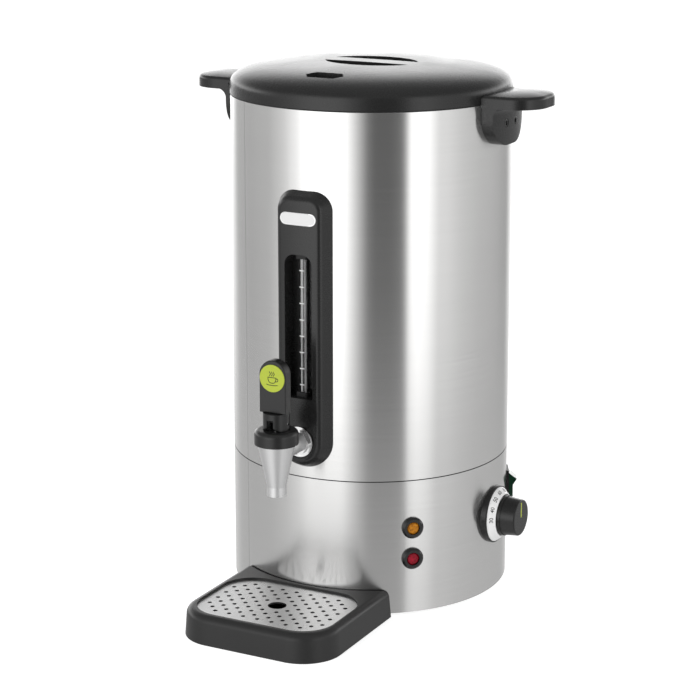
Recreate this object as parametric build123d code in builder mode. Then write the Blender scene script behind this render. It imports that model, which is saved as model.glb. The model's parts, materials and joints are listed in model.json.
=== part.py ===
from build123d import *

import math
import os

os.makedirs("parts", exist_ok=True)

# Driving dimensions in millimetres. +Z is up, -Y points to the tap, +X to the right-hand handle.
# The origin is on the axis of the round body, at the level its feet stand on.
FIT = 0.1  # gap round a fixed piece
RUN = 0.3  # gap round a piece that moves
PIN_FIT = 0.05  # radial clearance of a pin that turns
SHEET = 0.8  # steel sheet of the jacket, the tank and the base

# Round body
BODY_R = 136.0
FOOT_H = 3.0
BASE_H = 131.0
SEAM_GAP = 1.0
JACKET_H = 350.0
HEM = 10.0
COLLAR_H = 8.0
TANK_GAP = 4.4
FLOOR_DROP = 15.8
TANK_CORNER = 8.0
PLATE_T = 1.2
FOOT_R = 9.0
FOOT_INSET = 26.0
SCREW_R = 2.0
POST_R = 5.0
POST_INSET = 30.8
POST_TURN = 70.0

# Heater under the tank
HEATER_R = 62.0
HEATER_T = 3.0
ELEMENT_RING_R = 46.0
ELEMENT_R = 3.2
STUD_R = 3.0
CLAMP_T = 2.0
LEG_L = 15.0
LEG_R = 1.9
LEG_ANGLE = 12.0
NUT_HALF = 5.7
BLOCK_L = 40.0
BLOCK_W = 16.0
BLOCK_H = 14.0
BLOCK_Y = 76.0
WIRE_R = 1.4
WIRE_RUN = 0.3  # share of the wire's rise that is straight at each end

# Reset button of the boil-dry limiter, reached from below
LIMITER_X = -52.0
LIMITER_Y = -30.0
LIMITER_SIDE = 26.0
LIMITER_H = 22.0
BUTTON_R = 4.0
BUTTON_L = 12.0
BUTTON_STROKE = 2.0

# Cord gland at the rear
GLAND_Z = 24.0
GLAND_R = 8.0
GLAND_BORE_R = 4.0
GLAND_FLANGE_R = 11.5
GLAND_OUT = 13.0
GLAND_IN = 10.0
GLAND_TAPER = 4.0

# Pilot lamps, heights below the seam
LAMP_ANGLE = -46.0
AMBER_DROP = 47.2
RED_DROP = 77.8
BEZEL_R = 10.5
BEZEL_T = 3.2
BEZEL_CHAMFER = 1.8
LENS_R = 6.2
LENS_DEPTH = 2.4
LAMP_L = 30.0

# Rocker switch
SWITCH_ANGLE = 27.0
SWITCH_DROP = 45.6
ROCKER_W = 15.0
ROCKER_H = 25.4
ROCKER_OUT = 10.4
ROCKER_IN = 6.6
ROCKER_BACK = 4.0
ROCKER_LEAN = 6.4
ROCKER_TAPER = 1.0
ROCKER_DISH = 2.0
TRUNNION_R = 1.5
SWITCH_WALL = 1.2
SWITCH_RIM = 2.2
SWITCH_DEPTH = 22.0

# Thermostat dial
DIAL_DROP = 56.6
DIAL_R = 28.2
DIAL_T = 3.6
DIAL_RING_R = 26.6
DIAL_RING_T = 0.8
KNOB_GAP = 7.2
KNOB_HUB_R = 12.0
KNOB_L = 17.6
KNOB_SKIRT_R = 19.8
KNOB_FACE_R = 17.6
KNOB_FLANGE = 3.0
KNOB_STEP = 0.8
KNOB_TAPER = 5.0
KNOB_ROUND = 1.5
KNOB_BORE_L = 12.0
POINTER_W = 2.4
POINTER_L = 15.0
POINTER_SUNK = 0.6
POINTER_EDGE = 2.2  # from the rim of the knob's face to the pointer
SPINDLE_R = 3.0
THERMO_W = 34.0
THERMO_H = 30.0
THERMO_L = 26.0
BULB_R = 3.0
BULB_L = 50.0
CAPILLARY_R = 1.0
CAPILLARY_OUT = 8.0
CAPILLARY_BOW = 14.0
CAPILLARY_LEAD = 12.0

# Gauge panel on the front, heights above the seam between base and jacket
PANEL_HALF = 28.4
PANEL_T = 12.5
PANEL_LOW = 8.8
PANEL_TOP = 276.4
PANEL_FLAT = 9.5  # half the level part of its upper edge
PANEL_DRAFT = 25.0
PANEL_ROUND = 7.0
SLOT_HALF = 16.0
SLOT_LOW = 24.0
SLOT_TOP = 232.0
TROUGH_LOW = 64.0
WINDOW_HALF = 14.4
WINDOW_LOW = 80.0
WINDOW_TOP = 217.0
WINDOW_CORNER = 10.0
TROUGH_FLOOR = 1.6
TUBE_R = 4.0
TUBE_WALL = 1.0
TUBE_OUT = 1.6
TUBE_HIDDEN = 7.0
BUSH_HALF = 6.0
BUSH_H = 4.5
HOSE_R = 2.5
BLOCK_WALL = 3.0
BLOCK_RISE = 17.0
BLOCK_OUT = 3.3
BADGE_Z = 250.6
BADGE_W = 37.0
BADGE_H = 11.5
BADGE_PROUD = 0.8
BADGE_SUNK = 1.0

# Tap
TAP_Z = 38.0
TAP_REACH = 54.6
SHANK_R = 9.0
SHANK_BORE_R = 6.0
SHANK_INSIDE = 15.0
NUT_RECESS_R = 16.2
NUT_RECESS = 2.0
WASHER_R = 14.6
WASHER_T = 2.6
WASHER_RIM = 1.4
WASHER_DISH = 1.2
NUT_R = 11.6
NUT_T = 4.6
BACK_NUT_T = 5.0
GASKET_T = 2.0
SPOUT_DROP = 39.5
SPOUT_R = 9.1
SPOUT_L = 9.0
OUTLET_R = 6.5
CONE_R = 17.6
CONE_RISE = 10.5
SEAT_DROP = 7.0
CHAMBER_R = 11.0
BONNET_R = 20.5
BONNET_H = 13.5
BONNET_ROUND = 4.5
SPIGOT_L = 5.0
SPRING_POCKET_R = 6.5
SPRING_R = 5.0
SPRING_WIRE_R = 0.5
SPRING_TURNS = 6
CUP_R = 9.0
CUP_H = 4.5
STEM_R = 2.75
STEM_ABOVE_PIN = 3.3
LEVER_PIN_R = 1.5
HEEL_R = 5.9
HEEL_FORWARD = 6.5
NECK_H = 16.0
LEVER_SLOT_HALF = 3.4
LEVER_SLOT_BACK = 4.6
PADDLE_HALF = 13.8
PADDLE_H = 50.0
PADDLE_FRONT = 6.9
PADDLE_T = 11.5
PADDLE_ROUND = 2.5
DISC_R = 12.8
DISC_T = 1.2
DISC_SUNK = 0.7
DISC_DROP = 16.6

# Handles
HANDLE_REACH = 49.0
HANDLE_HALF = 36.0
HANDLE_CORNER = 29.0
HANDLE_T = 11.5
HANDLE_ABOVE_RIM = 8.5
HANDLE_ROUND = 3.5
HANDLE_UNDER_ROUND = 2.0
TONGUE_T = 11.0
TONGUE_HALF = 34.5
TONGUE_L = 37.0
TONGUE_CORNER = 26.0
TONGUE_FILLET = 9.0
HANDLE_SCREW_Y = 10.4
HANDLE_SCREW_DROP = 19.0
SCREW_HEAD_R = 4.0
BACKING_T = 1.5
BACKING_HALF = 20.0
BACKING_H = 20.0

# Lid
LID_OVERHANG = 0.4
LID_WALL_H = 7.0
LID_TOP_H = 22.5
LID_SQUARE = 3.0  # exponent of the section: 2 is an ellipse, more is squarer
LID_WALL = 3.0
LUG_L = 4.5
LUG_HALF = 6.0
LUG_T = 2.9
LUG_ANGLE = 18.5  # from the middle of a handle to the middle of a free lug
GROOVE_DROP = 1.2
GROOVE_DEPTH = 7.0
GRIP_X = 46.5
GRIP_Y = 35.0
BAR_HALF = 11.0
GRIP_FLOOR = 8.0
POCKET_WALL = 2.5
VENT_Y = -95.0
VENT_L = 39.0
VENT_W = 20.0
VENT_DEPTH = 5.0
VENT_SLOT_L = 14.0
VENT_SLOT_W = 4.0
LINER_T = 0.8
SEAL_T = 2.0
SEAL_W = 6.0
LID_SCREW_RING = 105.0
LID_SCREW_R = 1.5
LID_SCREW_L = 7.5
BOSS_R = 4.0

# Drip tray
TRAY_H = 27.0
TRAY_HALF = 79.5
TRAY_FORWARD = 63.4
TRAY_CORNER = 38.0
TRAY_TAPER = 4.3
TRAY_ROUND = 7.0
TRAY_GAP = 1.6
TRAY_FLOOR = 3.0
GRILLE_L = 140.0
GRILLE_W = 102.0
GRILLE_FORWARD = 1.0  # from the spout's axis to the middle of the grille
GRILLE_CORNER = 31.0
GRILLE_T = 1.8
GRILLE_SUNK = 2.0
LEDGE = 4.0
HOLE_R = 2.1
HOLE_PITCH = 7.5
HOLE_MARGIN = 6.0
DRAIN_R = 8.75
DRAIN_MARGIN = 3.0
TONGUE_X = 45.0
TONGUE_W = 16.0
TONGUE_IN = 12.0

# Heights and radii that follow
seam_z = FOOT_H + BASE_H + SEAM_GAP
rim_z = seam_z + JACKET_H
flange_z = rim_z - RUN
plate_low = FOOT_H + SHEET
plate_top = plate_low + PLATE_T
tank_r = BODY_R - SHEET - TANK_GAP
tank_floor = seam_z - FLOOR_DROP
foot_ring_r = BODY_R - FOOT_INSET
post_ring_r = tank_r - POST_INSET
amber_z = seam_z - AMBER_DROP
red_z = seam_z - RED_DROP
switch_z = seam_z - SWITCH_DROP
dial_z = seam_z - DIAL_DROP
inner_r = BODY_R - SHEET - FIT
spout_y = -BODY_R - TAP_REACH
front_r = BODY_R + PANEL_T


def outward(angle, radius, height):
    """A plane at a point of the round body: normal outward, local x sideways, local y up."""
    side = (-math.sin(math.radians(angle)), math.cos(math.radians(angle)), 0)
    normal = (math.cos(math.radians(angle)), math.sin(math.radians(angle)), 0)
    origin = (radius * normal[0], radius * normal[1], height)
    return Plane(origin=origin, x_dir=side, z_dir=normal)


def chord(radius, half_width):
    """Distance from the axis to a flat face that meets a cylinder at this half width."""
    return math.sqrt(radius**2 - half_width**2)


def route(points, bend=0.45):
    """A path of straight runs whose corners are arcs as large as the runs allow."""
    corners = [Vector(*p) for p in points]
    radii = []
    for before, here, after in zip(corners, corners[1:], corners[2:]):
        turn = (here - before).get_angle(after - here)
        shorter = min((here - before).length, (after - here).length)
        radii.append(bend * shorter / math.tan(math.radians(turn) / 2))
    return FilletPolyline(*points, radius=radii)


def tube_along(points, radius):
    """A round solid along a route, added to the part being built."""
    with BuildLine() as line:
        route(points)
    with BuildSketch(Plane(origin=line.line @ 0, z_dir=line.line % 0)) as section:
        Circle(radius)
    sweep(sections=section.sketch, path=line.line)


def write(name, part):
    """Labels a finished piece and writes it."""
    part.label = name
    export_step(part, f"parts/{name}.step")


# Base: shell with a hem below and a collar that carries the jacket
lamp_hole_r = LENS_R + SHEET + FIT
switch_hole_w = ROCKER_W + 2 * RUN + 2 * SWITCH_WALL + 2 * FIT
switch_hole_h = ROCKER_H + 4 * RUN + 2 * SWITCH_WALL + 2 * FIT
with BuildPart() as base_shell:
    with BuildSketch(Plane.XZ):
        with BuildLine():
            Polyline(
                (BODY_R - HEM, FOOT_H),
                (BODY_R, FOOT_H),
                (BODY_R, seam_z - SEAM_GAP),
                (inner_r, seam_z - SEAM_GAP),
                (inner_r, seam_z + COLLAR_H),
                (inner_r - SHEET, seam_z + COLLAR_H),
                (inner_r - SHEET, seam_z - SEAM_GAP - SHEET),
                (BODY_R - SHEET, seam_z - SEAM_GAP - SHEET),
                (BODY_R - SHEET, plate_low),
                (BODY_R - HEM, plate_low),
                close=True,
            )
        make_face()
    revolve(axis=Axis.Z)
    with BuildSketch(outward(LAMP_ANGLE, tank_r, amber_z), outward(LAMP_ANGLE, tank_r, red_z)):
        Circle(lamp_hole_r)
    with BuildSketch(outward(SWITCH_ANGLE, tank_r, switch_z)):
        Rectangle(switch_hole_w, switch_hole_h)
    with BuildSketch(outward(0, tank_r, dial_z)):
        Circle(SPINDLE_R + RUN)
    with BuildSketch(outward(90, tank_r, GLAND_Z)):
        Circle(GLAND_R + FIT)
    extrude(amount=BODY_R - tank_r + 1, mode=Mode.SUBTRACT)
write("base_shell", base_shell.part)

with BuildPart() as base_plate:
    with BuildSketch(Plane.XY.offset(plate_low)):
        Circle(inner_r)
        with PolarLocations(foot_ring_r, 4, 45):
            Circle(SCREW_R + FIT, mode=Mode.SUBTRACT)
        with Locations((LIMITER_X, LIMITER_Y)):
            Circle(BUTTON_R + RUN, mode=Mode.SUBTRACT)
    extrude(amount=PLATE_T)
write("base_plate", base_plate.part)

foot_head_r = 2 * SCREW_R
foot_head_z = FOOT_H / 3
with BuildPart() as feet:
    with BuildSketch():
        with PolarLocations(foot_ring_r, 4, 45):
            Circle(FOOT_R)
            Circle(SCREW_R + FIT, mode=Mode.SUBTRACT)
    extrude(amount=plate_low)
    with BuildSketch():
        with PolarLocations(foot_ring_r, 4, 45):
            Circle(foot_head_r + FIT)
    extrude(amount=2 * foot_head_z, mode=Mode.SUBTRACT)
write("feet", feet.part)

with BuildPart() as foot_screws:
    with BuildSketch(Plane.XY.offset(foot_head_z)):
        with PolarLocations(foot_ring_r, 4, 45):
            Circle(foot_head_r)
    extrude(amount=foot_head_z)
    with BuildSketch(Plane.XY.offset(foot_head_z)):
        with PolarLocations(foot_ring_r, 4, 45):
            Circle(SCREW_R)
    extrude(amount=plate_top + SCREW_R - foot_head_z)
write("foot_screws", foot_screws.part)

# Jacket: opening for the gauge trough, holes for the handle screws
screw_z = rim_z - HANDLE_SCREW_DROP
slot_mid = seam_z + (SLOT_LOW + SLOT_TOP) / 2
handle_planes = [outward(0, 0, screw_z), outward(180, 0, screw_z)]
with BuildPart() as jacket:
    with BuildSketch(Plane.XY.offset(seam_z)):
        Circle(BODY_R)
        Circle(BODY_R - SHEET, mode=Mode.SUBTRACT)
    extrude(amount=flange_z - SHEET - seam_z)
    with BuildSketch(outward(-90, tank_r, slot_mid)):
        RectangleRounded(2 * SLOT_HALF, SLOT_TOP - SLOT_LOW, SHEET)
    with BuildSketch(*handle_planes):
        with Locations((HANDLE_SCREW_Y, 0), (-HANDLE_SCREW_Y, 0)):
            Circle(SCREW_R + FIT)
    extrude(amount=BODY_R + 1, mode=Mode.SUBTRACT)
write("jacket", jacket.part)

# Tank: deep drawn, its flange lies on the jacket
with BuildPart() as tank:
    with BuildSketch(Plane.XZ):
        with BuildLine():
            Polyline(
                (0, tank_floor),
                (0, tank_floor - SHEET),
                (tank_r, tank_floor - SHEET),
                (tank_r, flange_z - SHEET),
                (BODY_R, flange_z - SHEET),
                (BODY_R, flange_z),
                (tank_r - SHEET, flange_z),
                (tank_r - SHEET, tank_floor),
                close=True,
            )
        make_face()
    revolve(axis=Axis.Z)
    fillet(tank.edges().filter_by(GeomType.CIRCLE).group_by(Axis.Z)[0], TANK_CORNER)
    inner_corner = tank.edges().filter_by(GeomType.CIRCLE)
    inner_corner = inner_corner.filter_by_position(Axis.Z, tank_floor - FIT, tank_floor + FIT)
    fillet(inner_corner, TANK_CORNER - SHEET)
    with BuildSketch(outward(-90, 0, seam_z + TAP_Z)):
        Circle(SHANK_R + FIT)
    extrude(amount=BODY_R, mode=Mode.SUBTRACT)
write("tank", tank.part)

with BuildPart() as tank_posts:
    with BuildSketch(Plane.XY.offset(plate_top)):
        with PolarLocations(post_ring_r, 4, POST_TURN):
            Circle(POST_R)
    extrude(amount=tank_floor - SHEET - plate_top)
write("tank_posts", tank_posts.part)

# Heater: plate against the tank floor, ring element under it, clamp bar and nut
heater_low = tank_floor - SHEET - HEATER_T
element_z = heater_low - FIT - ELEMENT_R
clamp_top = element_z - ELEMENT_R - FIT
nut_t = 2 * CLAMP_T
with BuildPart() as heater_plate:
    with BuildSketch(Plane.XY.offset(heater_low)):
        Circle(HEATER_R)
    extrude(amount=HEATER_T)
    with BuildSketch(Plane.XY.offset(heater_low)):
        Circle(STUD_R)
    extrude(amount=clamp_top - CLAMP_T - nut_t - heater_low - 1)
write("heater_plate", heater_plate.part)

with BuildPart() as heater_element:
    with BuildSketch(Plane.XZ):
        with Locations((ELEMENT_RING_R, element_z)):
            Circle(ELEMENT_R)
    revolve(axis=Axis.Z)
    with BuildSketch(Plane.XY.offset(element_z)):
        with PolarLocations(ELEMENT_RING_R, 2, 90 - LEG_ANGLE, 2 * LEG_ANGLE, endpoint=True):
            Circle(LEG_R)
    extrude(amount=-LEG_L)
write("heater_element", heater_element.part)

with BuildPart() as heater_clamp:
    with BuildSketch(Plane.XY.offset(clamp_top)):
        Rectangle(2 * (ELEMENT_RING_R + ELEMENT_R), 4 * STUD_R)
        Circle(STUD_R + FIT, mode=Mode.SUBTRACT)
    extrude(amount=-CLAMP_T)
write("heater_clamp", heater_clamp.part)

with BuildPart() as heater_nut:
    with BuildSketch(Plane.XY.offset(clamp_top - CLAMP_T)):
        RegularPolygon(NUT_HALF, 6)
        Circle(STUD_R + FIT, mode=Mode.SUBTRACT)
    extrude(amount=-nut_t)
write("heater_nut", heater_nut.part)

# Limiter on the base plate, its button reached through the plate
button_low = plate_low - BUTTON_STROKE
with BuildPart() as limiter_body:
    with BuildSketch(Plane.XY.offset(plate_top)):
        with Locations((LIMITER_X, LIMITER_Y)):
            Rectangle(LIMITER_SIDE, LIMITER_SIDE)
    extrude(amount=LIMITER_H)
    with BuildSketch(Plane.XY.offset(plate_top)):
        with Locations((LIMITER_X, LIMITER_Y)):
            Circle(BUTTON_R + RUN)
    extrude(amount=button_low + BUTTON_L + BUTTON_STROKE + RUN - plate_top, mode=Mode.SUBTRACT)
write("limiter_body", limiter_body.part)

with BuildPart() as reset_button:
    with BuildSketch(Plane.XY.offset(button_low)):
        with Locations((LIMITER_X, LIMITER_Y)):
            Circle(BUTTON_R)
    extrude(amount=BUTTON_L)
write("reset_button", reset_button.part)

# Terminal block and the wires to the element
with BuildPart() as terminal_block:
    with BuildSketch(Plane.XY.offset(plate_top)):
        with Locations((0, BLOCK_Y)):
            Rectangle(BLOCK_L, BLOCK_W)
    extrude(amount=BLOCK_H)
write("terminal_block", terminal_block.part)

leg_x = ELEMENT_RING_R * math.sin(math.radians(LEG_ANGLE))
leg_y = ELEMENT_RING_R * math.cos(math.radians(LEG_ANGLE))
block_top = plate_top + BLOCK_H
leg_low = element_z - LEG_L
wire_rise = leg_low - block_top
with BuildPart() as wiring:
    for side in (-1, 1):
        tube_along(
            [
                (side * leg_x, BLOCK_Y, block_top),
                (side * leg_x, BLOCK_Y, block_top + WIRE_RUN * wire_rise),
                (side * leg_x, leg_y, leg_low - WIRE_RUN * wire_rise),
                (side * leg_x, leg_y, leg_low),
            ],
            WIRE_R,
        )
write("wiring", wiring.part)

# Cord gland
with BuildPart() as cord_gland:
    with BuildSketch(outward(90, BODY_R + FIT, GLAND_Z)):
        Circle(GLAND_FLANGE_R)
    extrude(amount=GLAND_OUT / 4)
    with BuildSketch(outward(90, BODY_R + FIT, GLAND_Z)):
        Circle(GLAND_R)
    extrude(amount=GLAND_OUT, taper=GLAND_TAPER)
    with BuildSketch(outward(90, BODY_R + FIT, GLAND_Z)):
        Circle(GLAND_R)
    extrude(amount=-GLAND_IN - SHEET)
    with BuildSketch(outward(90, BODY_R + FIT, GLAND_Z)):
        Circle(GLAND_BORE_R)
    extrude(amount=GLAND_IN + GLAND_OUT, both=True, mode=Mode.SUBTRACT)
write("cord_gland", cord_gland.part)

with BuildPart() as gland_nut:
    with BuildSketch(outward(90, chord(BODY_R - SHEET, GLAND_FLANGE_R) - FIT, GLAND_Z)):
        RegularPolygon(GLAND_FLANGE_R, 6)
        Circle(GLAND_R + FIT, mode=Mode.SUBTRACT)
    extrude(amount=-GLAND_IN / 2)
write("gland_nut", gland_nut.part)

# Pilot lamps: lens in a bezel, lamp body through the shell
lamp_face = BODY_R + FIT
lamp_heights = (amber_z, red_z)
with BuildPart() as lamp_bezels:
    with BuildSketch(*[outward(LAMP_ANGLE, lamp_face, z) for z in lamp_heights]):
        Circle(BEZEL_R)
    extrude(amount=BEZEL_T)
    top_edges = lamp_bezels.edges().filter_by(GeomType.CIRCLE)
    outer = Vector(math.cos(math.radians(LAMP_ANGLE)), math.sin(math.radians(LAMP_ANGLE)), 0)
    chamfer(top_edges.group_by(Axis((0, 0, 0), tuple(outer)))[-1], BEZEL_CHAMFER)
    with BuildSketch(*[outward(LAMP_ANGLE, lamp_face, z) for z in lamp_heights]):
        Circle(LENS_R + FIT)
    extrude(amount=BEZEL_T, mode=Mode.SUBTRACT)
write("lamp_bezels", lamp_bezels.part)

for name, height in (("amber_lens", amber_z), ("red_lens", red_z)):
    with BuildPart() as lens:
        with BuildSketch(outward(LAMP_ANGLE, lamp_face, height)):
            Circle(LENS_R)
        extrude(amount=LENS_DEPTH / 2)
        with BuildSketch(outward(LAMP_ANGLE, lamp_face + LENS_DEPTH / 2, height)):
            RegularPolygon(LENS_R, 12)
        extrude(amount=LENS_DEPTH / 2, taper=45)
    write(name, lens.part)

with BuildPart() as lamp_bodies:
    with BuildSketch(*[outward(LAMP_ANGLE, lamp_face, z) for z in lamp_heights]):
        Circle(LENS_R + SHEET)
    extrude(amount=-LAMP_L)
write("lamp_bodies", lamp_bodies.part)

# Rocker switch: local z outward, the pivot on the body's surface
with BuildPart() as switch_housing:
    with BuildSketch(outward(SWITCH_ANGLE, chord(BODY_R, switch_hole_w), switch_z)):
        Rectangle(switch_hole_w + 2 * SWITCH_WALL, switch_hole_h + 2 * SWITCH_WALL)
    extrude(amount=BODY_R - chord(BODY_R, switch_hole_w) + SWITCH_RIM)
    with BuildSketch():
        Circle(BODY_R + FIT)
    extrude(amount=rim_z, mode=Mode.SUBTRACT)
    with BuildSketch(outward(SWITCH_ANGLE, BODY_R + SWITCH_RIM, switch_z)):
        Rectangle(switch_hole_w - 2 * FIT, switch_hole_h - 2 * FIT)
    extrude(amount=-SWITCH_DEPTH - SWITCH_RIM)
    with BuildSketch(outward(SWITCH_ANGLE, BODY_R + SWITCH_RIM, switch_z)):
        Rectangle(ROCKER_W + 2 * RUN, ROCKER_H + 4 * RUN)
    extrude(amount=SWITCH_WALL - SWITCH_DEPTH - SWITCH_RIM, mode=Mode.SUBTRACT)
    with BuildSketch(outward(SWITCH_ANGLE + 90, 0, switch_z)):
        with Locations((-BODY_R, 0)):
            Circle(TRUNNION_R + PIN_FIT)
    extrude(amount=ROCKER_W / 2 + RUN + SWITCH_WALL / 2, both=True, mode=Mode.SUBTRACT)
write("switch_housing", switch_housing.part)

with BuildPart() as switch_rocker:
    with BuildSketch(outward(SWITCH_ANGLE + 90, 0, switch_z)):
        with BuildLine():
            Polyline(
                (-BODY_R + ROCKER_BACK, ROCKER_H / 2 - ROCKER_TAPER),
                (-BODY_R - SWITCH_RIM, ROCKER_H / 2),
                (-BODY_R - ROCKER_OUT, ROCKER_H / 2 - ROCKER_LEAN),
                (-BODY_R - (ROCKER_OUT + ROCKER_IN) / 2 + ROCKER_DISH, 0),
                (-BODY_R - ROCKER_IN, -ROCKER_H / 2 + ROCKER_TAPER),
                (-BODY_R - SWITCH_RIM, -ROCKER_H / 2),
                (-BODY_R + ROCKER_BACK, -ROCKER_H / 2 + ROCKER_TAPER),
                close=True,
            )
        make_face()
    extrude(amount=ROCKER_W / 2, both=True)
    with BuildSketch(outward(SWITCH_ANGLE + 90, 0, switch_z)):
        with Locations((-BODY_R, 0)):
            Circle(TRUNNION_R)
    extrude(amount=ROCKER_W / 2 + RUN + SWITCH_WALL / 2 - FIT, both=True)
write("switch_rocker", switch_rocker.part)

# Thermostat: body behind the shell, bezel, white ring and knob outside it
dial_face = BODY_R + DIAL_T
with BuildPart() as dial_bezel:
    with BuildSketch(outward(0, chord(BODY_R, DIAL_R) - 1, dial_z)):
        Circle(DIAL_R)
    extrude(amount=dial_face - chord(BODY_R, DIAL_R) + 1)
    fillet(dial_bezel.edges().group_by(Axis.X)[-1], DIAL_T / 3)
    with BuildSketch():
        Circle(BODY_R + FIT)
    extrude(amount=rim_z, mode=Mode.SUBTRACT)
    with BuildSketch(outward(0, dial_face, dial_z)):
        Circle(DIAL_RING_R + FIT)
    extrude(amount=-DIAL_RING_T, mode=Mode.SUBTRACT)
    with BuildSketch(outward(0, 0, dial_z)):
        Circle(SPINDLE_R + RUN)
    extrude(amount=2 * BODY_R, mode=Mode.SUBTRACT)
write("dial_bezel", dial_bezel.part)

with BuildPart() as dial_ring:
    with BuildSketch(outward(0, dial_face - DIAL_RING_T, dial_z)):
        Circle(DIAL_RING_R)
        Circle(SPINDLE_R + RUN, mode=Mode.SUBTRACT)
    extrude(amount=DIAL_RING_T + FIT)
write("dial_ring", dial_ring.part)

thermo_face = chord(BODY_R - SHEET, THERMO_W / 2) - FIT
with BuildPart() as thermostat_body:
    with BuildSketch(outward(0, thermo_face, dial_z)):
        Rectangle(THERMO_W, THERMO_H)
    extrude(amount=-THERMO_L)
    with BuildSketch(outward(0, thermo_face, dial_z)):
        Circle(SPINDLE_R + PIN_FIT)
    extrude(amount=-THERMO_L / 2, mode=Mode.SUBTRACT)
write("thermostat_body", thermostat_body.part)

hub_low = dial_face + FIT + RUN
knob_low = dial_face + KNOB_GAP
pointer_y = KNOB_FACE_R - POINTER_EDGE - POINTER_L / 2
with BuildPart() as thermostat_spindle:
    with BuildSketch(outward(0, thermo_face - THERMO_L / 2 + RUN, dial_z)):
        Circle(SPINDLE_R)
    extrude(amount=knob_low + KNOB_BORE_L - thermo_face + THERMO_L / 2 - RUN)
write("thermostat_spindle", thermostat_spindle.part)

with BuildPart() as knob:
    with BuildSketch(outward(0, knob_low, dial_z)):
        Circle(KNOB_SKIRT_R)
    extrude(amount=KNOB_FLANGE)
    with BuildSketch(outward(0, hub_low, dial_z)):
        Circle(KNOB_HUB_R)
    extrude(amount=knob_low - hub_low)
    with BuildSketch(outward(0, knob_low + KNOB_FLANGE, dial_z)):
        Circle(KNOB_SKIRT_R - KNOB_STEP)
    extrude(amount=KNOB_L - KNOB_FLANGE, taper=KNOB_TAPER)
    fillet(knob.edges().group_by(Axis.X)[-1], KNOB_ROUND)
    with BuildSketch(outward(0, hub_low, dial_z)):
        Circle(SPINDLE_R + PIN_FIT)
    extrude(amount=knob_low + KNOB_BORE_L - hub_low, mode=Mode.SUBTRACT)
    with BuildSketch(outward(0, knob_low + KNOB_L, dial_z)):
        with Locations((0, pointer_y)):
            Rectangle(POINTER_W, POINTER_L)
    extrude(amount=-POINTER_SUNK, mode=Mode.SUBTRACT)
write("knob", knob.part)

with BuildPart() as knob_pointer:
    with BuildSketch(outward(0, knob_low + KNOB_L, dial_z)):
        with Locations((0, pointer_y)):
            Rectangle(POINTER_W - 2 * FIT, POINTER_L - 2 * FIT)
    extrude(amount=-POINTER_SUNK)
write("knob_pointer", knob_pointer.part)

bulb_x = HEATER_R + 3 * BULB_R
bulb_z = tank_floor - SHEET - FIT - BULB_R
thermo_back = thermo_face - THERMO_L
with BuildPart() as thermostat_bulb:
    with BuildSketch(Plane(origin=(bulb_x, 0, bulb_z), x_dir=(1, 0, 0), z_dir=(0, 1, 0))):
        Circle(BULB_R)
    extrude(amount=BULB_L)
    tube_along(
        [
            (thermo_back, 0, dial_z),
            (thermo_back - CAPILLARY_OUT, 0, dial_z),
            (thermo_back - CAPILLARY_BOW, -CAPILLARY_OUT, (dial_z + bulb_z) / 2),
            (bulb_x, -CAPILLARY_LEAD, bulb_z),
            (bulb_x, CAPILLARY_R, bulb_z),
        ],
        CAPILLARY_R,
    )
write("thermostat_bulb", thermostat_bulb.part)

# Gauge panel: rounded cover with sloping sides on the jacket, with the trough of the sight glass
panel_mid = seam_z + (PANEL_LOW + PANEL_TOP) / 2
window_mid = seam_z + (WINDOW_LOW + WINDOW_TOP) / 2
window_h = WINDOW_TOP - WINDOW_LOW
tap_z = seam_z + TAP_Z
tube_y = -BODY_R - TUBE_OUT
hose_y = -BODY_R
block_half = SHANK_R + BLOCK_WALL
block_z = tap_z + BLOCK_RISE
block_front = BODY_R + BLOCK_OUT
trough_floor_r = BODY_R - SHEET - TROUGH_FLOOR
trough_back_r = tank_r + 2 * RUN
trough_front_r = BODY_R + PANEL_T / 2
panel_foot_r = chord(BODY_R, PANEL_HALF)
tube_low = seam_z + WINDOW_LOW - TUBE_HIDDEN
tube_top = seam_z + WINDOW_TOP + TUBE_HIDDEN
with BuildPart() as window_cut:
    with BuildSketch(outward(-90, 0, window_mid)) as window:
        Rectangle(2 * WINDOW_HALF, window_h)
        fillet(window.vertices().sort_by(Axis.Y)[-2:], WINDOW_CORNER)
    extrude(amount=2 * BODY_R)
    with BuildSketch(Plane.XY.offset(seam_z)):
        Circle(trough_floor_r)
    extrude(amount=JACKET_H, mode=Mode.SUBTRACT)

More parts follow.
